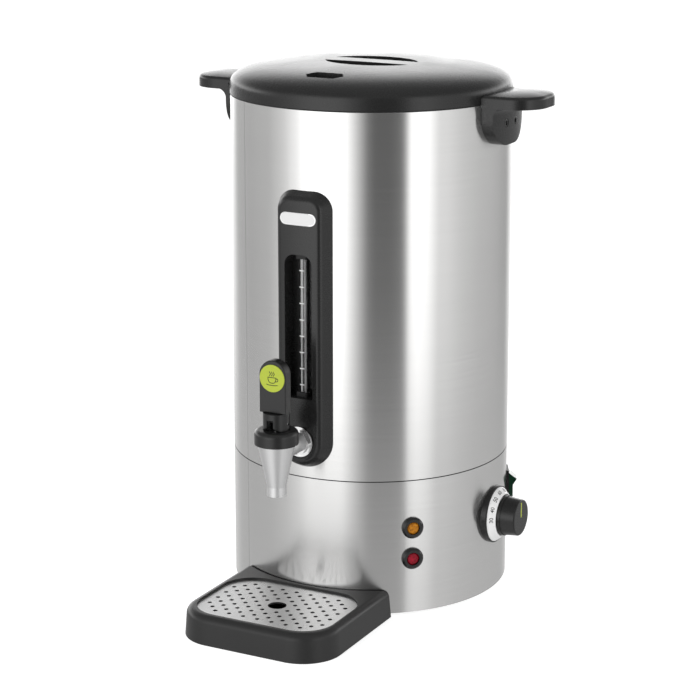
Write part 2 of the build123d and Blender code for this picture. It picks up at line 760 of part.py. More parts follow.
with BuildPart() as gauge_panel:
    with BuildSketch(outward(-90, panel_foot_r, panel_mid)) as panel_face:
        Rectangle(2 * PANEL_HALF, PANEL_TOP - PANEL_LOW)
        fillet(panel_face.vertices().sort_by(Axis.Y)[-2:], PANEL_HALF - PANEL_FLAT)
        fillet(panel_face.vertices().sort_by(Axis.Y)[:2], PANEL_HALF - FIT)
    extrude(amount=front_r + 1 - panel_foot_r, taper=PANEL_DRAFT)
    with BuildSketch(Plane.XY.offset(seam_z)):
        Circle(front_r)
    extrude(amount=JACKET_H, mode=Mode.INTERSECT)
    fillet(gauge_panel.faces().sort_by(Axis.Y)[0].edges(), PANEL_ROUND)
    with BuildSketch(Plane.XY.offset(seam_z)):
        Circle(BODY_R + FIT)
    extrude(amount=JACKET_H, mode=Mode.SUBTRACT)
    with BuildSketch(Plane.XY.offset(seam_z + TROUGH_LOW)):
        Circle(trough_front_r)
        Circle(trough_back_r, mode=Mode.SUBTRACT)
        with Locations((0, -BODY_R)):
            Rectangle(2 * (SLOT_HALF - 2 * FIT), BODY_R, mode=Mode.INTERSECT)
    extrude(amount=SLOT_TOP - TROUGH_LOW - 2 * FIT)
    add(window_cut.part, mode=Mode.SUBTRACT)
    with BuildSketch(Plane.XY.offset(tube_low)):
        with Locations((0, tube_y)):
            Circle(TUBE_R + FIT)
    extrude(amount=tube_top + FIT - tube_low, mode=Mode.SUBTRACT)
    with BuildSketch(Plane.XY.offset(block_z)):
        with Locations((0, hose_y)):
            Circle(HOSE_R + FIT)
    extrude(amount=tube_low - block_z, mode=Mode.SUBTRACT)
    with BuildSketch(outward(-90, 0, (block_z + tap_z - block_half) / 2)):
        Rectangle(2 * (block_half + FIT), block_z - tap_z + block_half + 2 * FIT)
    extrude(amount=block_front + FIT, mode=Mode.SUBTRACT)
    with BuildSketch(outward(-90, front_r - NUT_RECESS, tap_z)):
        Circle(NUT_RECESS_R)
    extrude(amount=PANEL_T, mode=Mode.SUBTRACT)
    with BuildSketch(outward(-90, 0, tap_z)):
        Circle(SHANK_R + FIT)
    extrude(amount=2 * BODY_R, mode=Mode.SUBTRACT)
    with BuildSketch(outward(-90, front_r - BADGE_SUNK, seam_z + BADGE_Z)):
        SlotOverall(BADGE_W + 2 * FIT, BADGE_H + 2 * FIT)
    extrude(amount=PANEL_T, mode=Mode.SUBTRACT)
write("gauge_panel", gauge_panel.part)

with BuildPart() as badge_plate:
    with BuildSketch(outward(-90, front_r - BADGE_SUNK, seam_z + BADGE_Z)):
        SlotOverall(BADGE_W, BADGE_H)
    extrude(amount=PANEL_T)
    with BuildSketch(Plane.XY.offset(seam_z)):
        Circle(front_r + BADGE_PROUD)
    extrude(amount=JACKET_H, mode=Mode.INTERSECT)
write("badge_plate", badge_plate.part)

with BuildPart() as gauge_tube:
    with BuildSketch(Plane.XY.offset(tube_low)):
        with Locations((0, tube_y)):
            Circle(TUBE_R)
            Circle(TUBE_R - TUBE_WALL, mode=Mode.SUBTRACT)
    extrude(amount=tube_top - tube_low)
write("gauge_tube", gauge_tube.part)

bush_back = -trough_floor_r - FIT
bush_depth = TUBE_R + TUBE_WALL - tube_y - trough_floor_r
with BuildPart() as gauge_bushes:
    for low in (WINDOW_LOW + FIT, WINDOW_TOP - BUSH_H - 2 * RUN):
        with BuildSketch(Plane.XY.offset(seam_z + low)):
            with Locations((0, bush_back - bush_depth / 2)):
                RectangleRounded(2 * BUSH_HALF, bush_depth, BUSH_HALF / 3)
            with Locations((0, tube_y)):
                Circle(TUBE_R + FIT, mode=Mode.SUBTRACT)
        extrude(amount=BUSH_H)
write("gauge_bushes", gauge_bushes.part)

with BuildPart() as gauge_hose:
    with BuildSketch(Plane.XY.offset(block_z)):
        with Locations((0, hose_y)):
            Circle(HOSE_R)
            Circle(HOSE_R - TUBE_WALL, mode=Mode.SUBTRACT)
    extrude(amount=tube_low - block_z)
write("gauge_hose", gauge_hose.part)

block_back = tank_r + GASKET_T
with BuildPart() as gauge_block:
    with BuildSketch(outward(-90, block_back, (block_z + tap_z - block_half) / 2)):
        Rectangle(2 * block_half, block_z - tap_z + block_half)
    extrude(amount=block_front - block_back)
    with BuildSketch(outward(-90, 0, tap_z)):
        Circle(SHANK_R + FIT)
    extrude(amount=2 * BODY_R, mode=Mode.SUBTRACT)
    with BuildSketch(Plane.XY.offset(tap_z)):
        with Locations((0, hose_y)):
            Circle(HOSE_R - TUBE_WALL)
    extrude(amount=block_z - tap_z, mode=Mode.SUBTRACT)
write("gauge_block", gauge_block.part)

# Tap: shank through the tank wall, gaskets and nuts on it, spout below, bonnet on top
tap_axis = Axis((0, spout_y, 0), (0, 0, 1))
tap_section = Plane(origin=(0, spout_y, 0), x_dir=(1, 0, 0), z_dir=(0, -1, 0))
spout_low = tap_z - SPOUT_DROP
cone_top = tap_z + CONE_RISE
chamber_low = tap_z - SEAT_DROP
spigot_low = cone_top - SPIGOT_L
bonnet_top = cone_top + BONNET_H
nut_face = front_r - NUT_RECESS
shank_end = tank_r - SHANK_INSIDE
with BuildPart() as tap_body:
    with BuildSketch(tap_section):
        with BuildLine():
            Polyline(
                (0, spout_low),
                (SPOUT_R, spout_low),
                (SPOUT_R, spout_low + SPOUT_L),
                (CONE_R, cone_top),
                (0, cone_top),
                close=True,
            )
        make_face()
    revolve(axis=tap_axis)
    with BuildSketch(outward(-90, shank_end, tap_z)):
        Circle(SHANK_R)
    extrude(amount=-spout_y - shank_end)
    with BuildSketch(outward(-90, shank_end, tap_z)):
        Circle(SHANK_BORE_R)
    extrude(amount=-spout_y - shank_end, mode=Mode.SUBTRACT)
    with BuildSketch(Plane.XY.offset(chamber_low)):
        with Locations((0, spout_y)):
            Circle(CHAMBER_R)
    extrude(amount=cone_top - chamber_low, mode=Mode.SUBTRACT)
    with BuildSketch(Plane.XY.offset(spout_low)):
        with Locations((0, spout_y)):
            Circle(OUTLET_R)
    extrude(amount=chamber_low - spout_low, mode=Mode.SUBTRACT)
write("tap_body", tap_body.part)

with BuildPart() as tap_nut:
    with BuildSketch(outward(-90, nut_face, tap_z)):
        Circle(WASHER_R)
    extrude(amount=WASHER_T)
    with BuildSketch(outward(-90, nut_face + WASHER_T - WASHER_DISH, tap_z)):
        Circle(WASHER_R - WASHER_RIM)
    extrude(amount=WASHER_DISH, mode=Mode.SUBTRACT)
    with BuildSketch(outward(-90, nut_face, tap_z)):
        RegularPolygon(NUT_R, 6)
    extrude(amount=NUT_T)
    with BuildSketch(outward(-90, 0, tap_z)):
        Circle(SHANK_R + FIT)
    extrude(amount=-spout_y, mode=Mode.SUBTRACT)
write("tap_nut", tap_nut.part)

gasket_flat = chord(tank_r - SHEET, 1.5 * SHANK_R) - FIT
with BuildPart() as tap_gaskets:
    with BuildSketch(outward(-90, tank_r + FIT, tap_z)):
        Circle(block_half)
        Circle(SHANK_R + FIT, mode=Mode.SUBTRACT)
    extrude(amount=GASKET_T - FIT)
    with BuildSketch(outward(-90, gasket_flat, tap_z)):
        Circle(1.5 * SHANK_R)
        Circle(SHANK_R + FIT, mode=Mode.SUBTRACT)
    extrude(amount=-GASKET_T)
write("tap_gaskets", tap_gaskets.part)

with BuildPart() as tap_back_nut:
    with BuildSketch(outward(-90, gasket_flat - GASKET_T, tap_z)):
        RegularPolygon(1.5 * SHANK_R, 6)
        Circle(SHANK_R + FIT, mode=Mode.SUBTRACT)
    extrude(amount=-BACK_NUT_T)
write("tap_back_nut", tap_back_nut.part)

with BuildPart() as tap_bonnet:
    with BuildSketch(Plane.XY.offset(cone_top)):
        with Locations((0, spout_y)):
            Circle(BONNET_R)
    extrude(amount=BONNET_H)
    fillet(tap_bonnet.edges().group_by(Axis.Z)[-1], BONNET_ROUND)
    with BuildSketch(Plane.XY.offset(spigot_low)):
        with Locations((0, spout_y)):
            Circle(CHAMBER_R - FIT)
    extrude(amount=SPIGOT_L)
    with BuildSketch(Plane.XY.offset(spigot_low)):
        with Locations((0, spout_y)):
            Circle(SPRING_POCKET_R)
    extrude(amount=SPIGOT_L + BONNET_H / 2, mode=Mode.SUBTRACT)
    with BuildSketch(Plane.XY.offset(spigot_low)):
        with Locations((0, spout_y)):
            Circle(STEM_R + FIT)
    extrude(amount=2 * BONNET_H, mode=Mode.SUBTRACT)
write("tap_bonnet", tap_bonnet.part)

# Valve: the stem lifts the cup off its seat, and the lever's heel lifts the stem
pin_z = bonnet_top + RUN + HEEL_R
cup_low = chamber_low + RUN
with BuildPart() as seat_cup:
    with BuildSketch(Plane.XY.offset(cup_low)):
        with Locations((0, spout_y)):
            Circle(CUP_R)
    extrude(amount=CUP_H)
    with BuildSketch(Plane.XY.offset(cup_low + CUP_H / 2)):
        with Locations((0, spout_y)):
            Circle(STEM_R + FIT)
    extrude(amount=CUP_H, mode=Mode.SUBTRACT)
write("seat_cup", seat_cup.part)

with BuildPart() as valve_stem:
    with BuildSketch(Plane.XY.offset(cup_low + CUP_H / 2)):
        with Locations((0, spout_y)):
            Circle(STEM_R)
    extrude(amount=pin_z + STEM_ABOVE_PIN - cup_low - CUP_H / 2)
    with BuildSketch(Plane.YZ):
        with Locations((spout_y, pin_z)):
            Circle(LEVER_PIN_R + FIT)
    extrude(amount=2 * STEM_R, both=True, mode=Mode.SUBTRACT)
write("valve_stem", valve_stem.part)

neck_r = HEEL_FORWARD + HEEL_R
neck_low = pin_z - HEEL_R
paddle_low = neck_low + NECK_H
with BuildPart() as lever_pin:
    with BuildSketch(Plane.YZ):
        with Locations((spout_y, pin_z)):
            Circle(LEVER_PIN_R)
    extrude(amount=neck_r - LEVER_PIN_R / 2, both=True)
write("lever_pin", lever_pin.part)

spring_low = cup_low + CUP_H + SPRING_WIRE_R + FIT
spring_high = cone_top + BONNET_H / 2 - SPRING_WIRE_R - FIT
spring_h = spring_high - spring_low
with BuildPart() as tap_spring:
    with BuildLine():
        coil = Helix(spring_h / SPRING_TURNS, spring_h, SPRING_R, center=(0, spout_y, spring_low))
    with BuildSketch(Plane(origin=coil @ 0, z_dir=coil % 0)):
        Circle(SPRING_WIRE_R)
    sweep(path=coil, is_frenet=True)
write("tap_spring", tap_spring.part)

paddle_front = spout_y - PADDLE_FRONT
disc_z = paddle_low + PADDLE_H - DISC_DROP
paddle_arc_z = paddle_low + PADDLE_H - PADDLE_HALF
with BuildPart() as paddle:
    with BuildSketch(Plane.XZ.offset(-paddle_front)):
        with Locations((0, (paddle_low + paddle_arc_z) / 2)):
            Rectangle(2 * PADDLE_HALF, paddle_arc_z - paddle_low)
        with Locations((0, paddle_arc_z)):
            Circle(PADDLE_HALF)
    extrude(amount=-PADDLE_T)
    fillet(paddle.faces().sort_by(Axis.Y)[0].edges(), PADDLE_ROUND / 2)
    fillet(paddle.faces().sort_by(Axis.Y)[-1].edges(), PADDLE_ROUND)

with BuildPart() as tap_lever:
    with BuildSketch(Plane.XY.offset(neck_low)):
        with Locations((0, spout_y)):
            Circle(neck_r)
    extrude(amount=NECK_H)
    with BuildSketch(Plane.YZ):
        with BuildLine():
            Polyline(
                (spout_y - neck_r, paddle_low),
                (spout_y - neck_r, neck_low),
                (spout_y + neck_r, neck_low),
                (spout_y + neck_r, paddle_low),
                close=True,
            )
        side_view = make_face()
        fillet(side_view.vertices().sort_by(Axis.X)[:2].sort_by(Axis.Y)[0], HEEL_R)
    extrude(amount=neck_r, both=True, mode=Mode.INTERSECT)
    add(paddle.part)
    with BuildSketch(Plane.XZ.offset(-paddle_front)):
        with Locations((0, disc_z)):
            Circle(DISC_R + FIT)
    extrude(amount=-DISC_SUNK, mode=Mode.SUBTRACT)
    with BuildSketch(Plane.XY.offset(neck_low - FIT)):
        with Locations((0, spout_y - neck_r + (neck_r + LEVER_SLOT_BACK) / 2)):
            Rectangle(2 * LEVER_SLOT_HALF, neck_r + LEVER_SLOT_BACK)
    extrude(amount=HEEL_R + LEVER_SLOT_BACK + FIT, mode=Mode.SUBTRACT)
    with BuildSketch(Plane.YZ):
        with Locations((spout_y, pin_z)):
            Circle(LEVER_PIN_R + PIN_FIT)
    extrude(amount=neck_r, both=True, mode=Mode.SUBTRACT)
write("tap_lever", tap_lever.part)

with BuildPart() as lever_disc:
    with BuildSketch(Plane.XZ.offset(-paddle_front - DISC_SUNK)):
        with Locations((0, disc_z)):
            Circle(DISC_R)
    extrude(amount=DISC_T)
write("lever_disc", lever_disc.part)

# Handles: a plate on a tongue. The lid's lugs turn into a groove that is open at one end
plate_z = rim_z + HANDLE_ABOVE_RIM
plate_under = plate_z - HANDLE_T
lid_r = BODY_R + LID_OVERHANG
lug_r = lid_r + LUG_L
lug_low = rim_z + RUN
lug_top = lug_low + LUG_T
groove_r = lid_r + GROOVE_DEPTH
groove_low = rim_z - GROOVE_DROP
tongue_low = plate_under - TONGUE_L
tongue_r = BODY_R + TONGUE_T
tongue_top = plate_z - HANDLE_T / 2
handle_mid = BODY_R + HANDLE_REACH - HANDLE_HALF
with BuildPart() as handle_right:
    with BuildSketch(Plane.XY.offset(plate_under)) as plate_face:
        with Locations((handle_mid / 2 + HANDLE_HALF / 2, 0)):
            Rectangle(handle_mid + HANDLE_HALF, 2 * HANDLE_HALF)
        fillet(plate_face.vertices().sort_by(Axis.X)[-2:], HANDLE_CORNER)
    extrude(amount=HANDLE_T)
    with BuildSketch(Plane.XY.offset(plate_under)):
        Circle(BODY_R - HANDLE_HALF)
    extrude(amount=HANDLE_T, mode=Mode.SUBTRACT)
    with BuildSketch(outward(0, BODY_R / 2, (tongue_low + tongue_top) / 2)) as tongue_face:
        Rectangle(2 * TONGUE_HALF, tongue_top - tongue_low)
        fillet(tongue_face.vertices().sort_by(Axis.Y)[:2], TONGUE_CORNER)
    tongue_block = extrude(amount=BODY_R, mode=Mode.PRIVATE)
    with BuildSketch(Plane.XY.offset(tongue_low)):
        Circle(tongue_r)
    tongue_round = extrude(amount=tongue_top - tongue_low, mode=Mode.PRIVATE)
    add(tongue_block & tongue_round)
    joint = handle_right.edges().filter_by(GeomType.CIRCLE)
    joint = joint.filter_by_position(Axis.Z, plate_under - FIT, plate_under + FIT)
    joint = joint.filter_by(lambda e: abs(e.radius - tongue_r) < FIT)
    fillet(joint, TONGUE_FILLET)
    rounded = handle_right.faces().sort_by(Axis.Z)[-1].edges()
    rounded = rounded.filter_by(lambda e: e.bounding_box().max.X > BODY_R)
    fillet(rounded, HANDLE_ROUND)
    with BuildSketch(Plane.XY.offset(tongue_low)):
        Circle(BODY_R + FIT)
    extrude(amount=rim_z - tongue_low, mode=Mode.SUBTRACT)
    with BuildSketch(Plane.XY.offset(rim_z)):
        Circle(lid_r + RUN)
    extrude(amount=2 * HANDLE_T, mode=Mode.SUBTRACT)
    with BuildSketch(Plane.XY.offset(groove_low)):
        Circle(groove_r)
        with Locations((0, groove_r / 2)):
            Rectangle(2 * groove_r, groove_r, mode=Mode.INTERSECT)
    extrude(amount=lug_top + RUN - groove_low, mode=Mode.SUBTRACT)
    with BuildSketch(outward(0, 0, screw_z)):
        with Locations((HANDLE_SCREW_Y, 0), (-HANDLE_SCREW_Y, 0)):
            Circle(SCREW_R + FIT)
    extrude(amount=2 * BODY_R, mode=Mode.SUBTRACT)
    with BuildSketch(outward(0, tongue_r - SCREW_R, screw_z)):
        with Locations((HANDLE_SCREW_Y, 0), (-HANDLE_SCREW_Y, 0)):
            Circle(SCREW_HEAD_R + FIT)
    extrude(amount=BODY_R, mode=Mode.SUBTRACT)
write("handle_right", handle_right.part)

with BuildPart() as handle_left:
    add(handle_right.part, rotation=(0, 0, 180))
write("handle_left", handle_left.part)

backing_r = inner_r - BACKING_T
screw_end = backing_r - SCREW_R / 2
with BuildPart() as handle_screws:
    for angle in (0, 180):
        with BuildSketch(outward(angle, screw_end, screw_z)):
            with Locations((HANDLE_SCREW_Y, 0), (-HANDLE_SCREW_Y, 0)):
                Circle(SCREW_R)
        extrude(amount=tongue_r - SCREW_R - screw_end)
        with BuildSketch(outward(angle, tongue_r - SCREW_R, screw_z)):
            with Locations((HANDLE_SCREW_Y, 0), (-HANDLE_SCREW_Y, 0)):
                Circle(SCREW_HEAD_R)
        extrude(amount=SCREW_R - 4 * FIT)
write("handle_screws", handle_screws.part)

with BuildPart() as handle_plates:
    with BuildSketch(Plane.XY.offset(screw_z - BACKING_H / 2)):
        Circle(inner_r)
        Circle(backing_r, mode=Mode.SUBTRACT)
        Rectangle(2 * BODY_R, 2 * BACKING_HALF, mode=Mode.INTERSECT)
    extrude(amount=BACKING_H)
    with BuildSketch(*handle_planes):
        with Locations((HANDLE_SCREW_Y, 0), (-HANDLE_SCREW_Y, 0)):
            Circle(SCREW_R + FIT)
    extrude(amount=BODY_R, mode=Mode.SUBTRACT)
write("handle_plates", handle_plates.part)

# Lid: cover with two finger wells and a vent, steel liner below, seal ring on the tank flange
shoulder_z = rim_z + LID_WALL_H
liner_top = lug_low + SEAL_T + LINER_T
cover_r = lid_r - LID_WALL
grip_z = rim_z + GRIP_FLOOR


def dome_point(turn, sink):
    """A point of the lid's section, as distance from the axis and height over the wall."""
    bend = 2 / LID_SQUARE
    across = math.sin(math.radians(turn)) ** bend
    up = math.cos(math.radians(turn)) ** bend
    return ((lid_r - sink) * across, (LID_TOP_H - sink) * up)


def dome(sink):
    """Section of the lid: wall and a squared half-oval top, sunk below the outside."""
    points = [dome_point(turn, sink) for turn in range(0, 90, 10)]
    points = [(x, shoulder_z + z) for x, z in points] + [(lid_r - sink, shoulder_z)]
    with BuildSketch(Plane.XZ, mode=Mode.PRIVATE) as section:
        with BuildLine():
            Spline(points, tangents=[(1, 0), (0, -1)])
            Polyline(points[-1], (lid_r - sink, lug_low), (0, lug_low), points[0])
        make_face()
    return section.sketch


vent_reach = (-VENT_Y / lid_r) ** LID_SQUARE
vent_z = shoulder_z + LID_TOP_H * (1 - vent_reach) ** (1 / LID_SQUARE)


def grips(grow):
    """The two D-shaped wells beside the grip bar, grown by a wall."""
    with BuildSketch(Plane.XY, mode=Mode.PRIVATE) as wells:
        Ellipse(GRIP_X + grow, GRIP_Y + grow)
        Rectangle(3 * GRIP_X, 2 * (BAR_HALF - grow), mode=Mode.SUBTRACT)
    return wells.sketch


def vent(grow):
    """The elongated hexagon of the steam vent, grown by a wall."""
    half_l = VENT_L / 2 + grow
    half_w = VENT_W / 2 + grow
    flat = half_l - half_w * 0.6
    with BuildSketch(Plane.XY, mode=Mode.PRIVATE) as hexagon:
        with BuildLine():
            Polyline(
                (half_l, VENT_Y),
                (flat, VENT_Y + half_w),
                (-flat, VENT_Y + half_w),
                (-half_l, VENT_Y),
                (-flat, VENT_Y - half_w),
                (flat, VENT_Y - half_w),
                close=True,
            )
        make_face()
    return hexagon.sketch


with BuildPart() as lid_cavity:
    revolve(dome(LID_WALL), axis=Axis.Z)
    extrude(
        Plane.XY.offset(grip_z - POCKET_WALL) * grips(POCKET_WALL),
        amount=2 * LID_TOP_H,
        mode=Mode.SUBTRACT,
    )
    extrude(
        Plane.XY.offset(vent_z - VENT_DEPTH - POCKET_WALL) * vent(POCKET_WALL),
        amount=LID_TOP_H,
        mode=Mode.SUBTRACT,
    )
    with BuildSketch(Plane.XY.offset(liner_top)):
        with PolarLocations(LID_SCREW_RING, 3, 90):
            Circle(BOSS_R)
    extrude(amount=2 * LID_TOP_H, mode=Mode.SUBTRACT)

with BuildPart() as lid_cover:
    revolve(dome(0), axis=Axis.Z)
    add(lid_cavity.part, mode=Mode.SUBTRACT)
    extrude(Plane.XY.offset(grip_z) * grips(0), amount=2 * LID_TOP_H, mode=Mode.SUBTRACT)
    extrude(Plane.XY.offset(vent_z - VENT_DEPTH) * vent(0), amount=LID_TOP_H, mode=Mode.SUBTRACT)
    with BuildSketch(Plane.XY.offset(liner_top)):
        with Locations((0, VENT_Y)):
            SlotOverall(VENT_SLOT_L, VENT_SLOT_W)
    extrude(amount=2 * LID_TOP_H, mode=Mode.SUBTRACT)
    with BuildSketch(Plane.XY.offset(lug_low)):
        Circle(lug_r)
        Circle(lid_r - LID_WALL / 2, mode=Mode.SUBTRACT)
        Rectangle(3 * lug_r, 2 * LUG_HALF, rotation=LUG_ANGLE, mode=Mode.INTERSECT)
    extrude(amount=LUG_T)
    with BuildSketch(Plane.XY.offset(liner_top)):
        with PolarLocations(LID_SCREW_RING, 3, 90):
            Circle(LID_SCREW_R + FIT)
    extrude(amount=LID_SCREW_L, mode=Mode.SUBTRACT)
write("lid_cover", lid_cover.part)

liner_r = cover_r - 4 * FIT
with BuildPart() as lid_liner:
    with BuildSketch(Plane.XY.offset(liner_top - LINER_T)):
        Circle(liner_r)
        with PolarLocations(LID_SCREW_RING, 3, 90):
            Circle(LID_SCREW_R + FIT, mode=Mode.SUBTRACT)
        with Locations((0, VENT_Y)):
            SlotOverall(VENT_SLOT_L, VENT_SLOT_W, mode=Mode.SUBTRACT)
    extrude(amount=LINER_T)
write("lid_liner", lid_liner.part)

with BuildPart() as lid_screws:
    with BuildSketch(Plane.XY.offset(liner_top - LINER_T)):
        with PolarLocations(LID_SCREW_RING, 3, 90):
            Circle(2 * LID_SCREW_R)
    extrude(amount=-LID_SCREW_R)
    with BuildSketch(Plane.XY.offset(liner_top - LINER_T)):
        with PolarLocations(LID_SCREW_RING, 3, 90):
            Circle(LID_SCREW_R)
    extrude(amount=LINER_T + LID_SCREW_L - RUN)
write("lid_screws", lid_screws.part)

with BuildPart() as lid_seal:
    with BuildSketch(Plane.XY.offset(rim_z)):
        Circle(liner_r)
        Circle(liner_r - SEAL_W, mode=Mode.SUBTRACT)
    extrude(amount=SEAL_T)
write("lid_seal", lid_seal.part)

# Drip tray: basin with a ledge for the grille, tongues that slip under the base
grille_y = spout_y - GRILLE_FORWARD
tray_front = spout_y - TRAY_FORWARD
tray_rear_r = BODY_R + TRAY_GAP
grille_z = TRAY_H - GRILLE_SUNK
ledge_z = grille_z - GRILLE_T
with BuildPart() as tray_body:
    with BuildSketch() as footprint:
        with Locations((0, tray_front / 2)):
            Rectangle(2 * TRAY_HALF, -tray_front)
        fillet(footprint.vertices().sort_by(Axis.Y)[:2], TRAY_CORNER)
    extrude(amount=TRAY_H, taper=TRAY_TAPER)
    fillet(tray_body.edges().group_by(Axis.Z)[-1], TRAY_ROUND)
    with BuildSketch():
        Circle(tray_rear_r)
    extrude(amount=TRAY_H, mode=Mode.SUBTRACT)
    with BuildSketch(Plane.XY.offset(ledge_z)):
        with Locations((0, grille_y)):
            RectangleRounded(GRILLE_L + 2 * RUN, GRILLE_W + 2 * RUN, GRILLE_CORNER + RUN)
    extrude(amount=TRAY_H, mode=Mode.SUBTRACT)
    with BuildSketch(Plane.XY.offset(TRAY_FLOOR)):
        with Locations((0, grille_y)):
            RectangleRounded(GRILLE_L - 2 * LEDGE, GRILLE_W - 2 * LEDGE, GRILLE_CORNER - LEDGE)
    extrude(amount=TRAY_H, mode=Mode.SUBTRACT)
    with BuildSketch():
        with Locations((TONGUE_X, -tray_rear_r), (-TONGUE_X, -tray_rear_r)):
            Rectangle(TONGUE_W, 4 * TONGUE_IN)
        Circle(BODY_R - TONGUE_IN, mode=Mode.SUBTRACT)
        with Locations((0, -tray_rear_r)):
            Rectangle(4 * BODY_R, 4 * TONGUE_IN, mode=Mode.INTERSECT)
    extrude(amount=FOOT_H - 2 * RUN)
write("tray_body", tray_body.part)


def grille_holes():
    """Centres of the holes: a staggered lattice, clear of the rim and of the middle hole."""
    half_x = GRILLE_L / 2 - HOLE_MARGIN
    half_y = GRILLE_W / 2 - HOLE_MARGIN
    corner = GRILLE_CORNER - HOLE_MARGIN
    columns = int(half_x / HOLE_PITCH)
    rows = int(half_y / HOLE_PITCH)
    for i in range(-columns, columns + 1):
        for j in range(-rows, rows + 1):
            x = i * HOLE_PITCH
            y = j * HOLE_PITCH
            past_x = max(abs(x) - half_x + corner, 0)
            past_y = max(abs(y) - half_y + corner, 0)
            on_plate = math.hypot(past_x, past_y) < corner
            if (i + j) % 2 and on_plate and math.hypot(x, y) > DRAIN_R + DRAIN_MARGIN:
                yield (x, y + grille_y)


with BuildPart() as tray_grille:
    with BuildSketch(Plane.XY.offset(ledge_z)):
        with Locations((0, grille_y)):
            RectangleRounded(GRILLE_L, GRILLE_W, GRILLE_CORNER)
            Circle(DRAIN_R, mode=Mode.SUBTRACT)
        with Locations(*grille_holes()):
            Circle(HOLE_R, mode=Mode.SUBTRACT)
    extrude(amount=GRILLE_T)
write("tray_grille", tray_grille.part)
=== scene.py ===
import json
import math

import bmesh
import bpy
import numpy as np
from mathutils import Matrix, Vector


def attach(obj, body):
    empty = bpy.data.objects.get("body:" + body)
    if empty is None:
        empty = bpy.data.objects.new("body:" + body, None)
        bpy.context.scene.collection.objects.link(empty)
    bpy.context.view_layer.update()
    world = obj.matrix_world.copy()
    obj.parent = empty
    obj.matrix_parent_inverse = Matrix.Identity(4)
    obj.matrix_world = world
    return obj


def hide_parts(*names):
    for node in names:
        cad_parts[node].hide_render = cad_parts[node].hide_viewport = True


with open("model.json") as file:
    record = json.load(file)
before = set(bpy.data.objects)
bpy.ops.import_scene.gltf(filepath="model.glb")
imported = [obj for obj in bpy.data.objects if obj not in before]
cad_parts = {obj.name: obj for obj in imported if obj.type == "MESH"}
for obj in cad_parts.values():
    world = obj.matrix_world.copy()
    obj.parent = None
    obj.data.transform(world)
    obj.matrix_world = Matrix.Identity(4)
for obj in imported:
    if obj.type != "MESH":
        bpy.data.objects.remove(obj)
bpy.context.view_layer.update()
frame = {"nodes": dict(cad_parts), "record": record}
MM = 0.001
BODY_R = 136.0  # this and every size of a piece below is in millimetres
TUBE_Y = -137.6  # of the sight glass's axis

# ---------------------------------------------------------------- camera

CAMERA_PLACE = (0.9304, -1.8259, 0.7737)
CAMERA_TURN = 27.58  # degrees from straight ahead, looking towards -X
CAMERA_DIP = 13.07  # degrees below level
CAMERA_LENS = 110.0
CAMERA_SHIFT = -0.10

camera = bpy.data.objects.new("camera", bpy.data.cameras.new("camera"))
camera.location = CAMERA_PLACE
camera.rotation_euler = (math.radians(90 - CAMERA_DIP), 0, math.radians(CAMERA_TURN))
camera.data.lens = CAMERA_LENS
camera.data.sensor_width = 36
camera.data.shift_y = CAMERA_SHIFT
camera.data.clip_end = 50
bpy.context.scene.collection.objects.link(camera)
bpy.context.scene.camera = camera
bpy.context.scene.view_settings.view_transform = "Standard"

# ---------------------------------------------------------------- shader maths


class Value:
    """A socket that takes part in Python arithmetic: each operator adds a Math node."""

    def __init__(self, graph, socket):
        self.graph = graph
        self.socket = socket

    def maths(self, operation, *others):
        """A Math node on this value and others."""
        sockets = dict(enumerate((self, *others)))
        return self.graph.node("ShaderNodeMath", {"operation": operation}, sockets)

    def __add__(self, other):
        return self.maths("ADD", other)

    def __radd__(self, other):
        return self.maths("ADD", other)

    def __sub__(self, other):
        return self.maths("SUBTRACT", other)

    def __rsub__(self, other):
        return (self * -1).maths("ADD", other)

    def __mul__(self, other):
        return self.maths("MULTIPLY", other)

    def __rmul__(self, other):
        return self.maths("MULTIPLY", other)

    def __truediv__(self, other):
        return self.maths("DIVIDE", other)

    def over(self, edge, soft=0.0):
        """1 over the edge and 0 under it, with a smooth rise from edge - soft to edge + soft."""
        if soft == 0:
            return self.maths("GREATER_THAN", edge)
        settings = {"interpolation_type": "SMOOTHSTEP"}
        sockets = {"Value": self, "From Min": edge - soft, "From Max": edge + soft}
        return self.graph.node("ShaderNodeMapRange", settings, sockets)


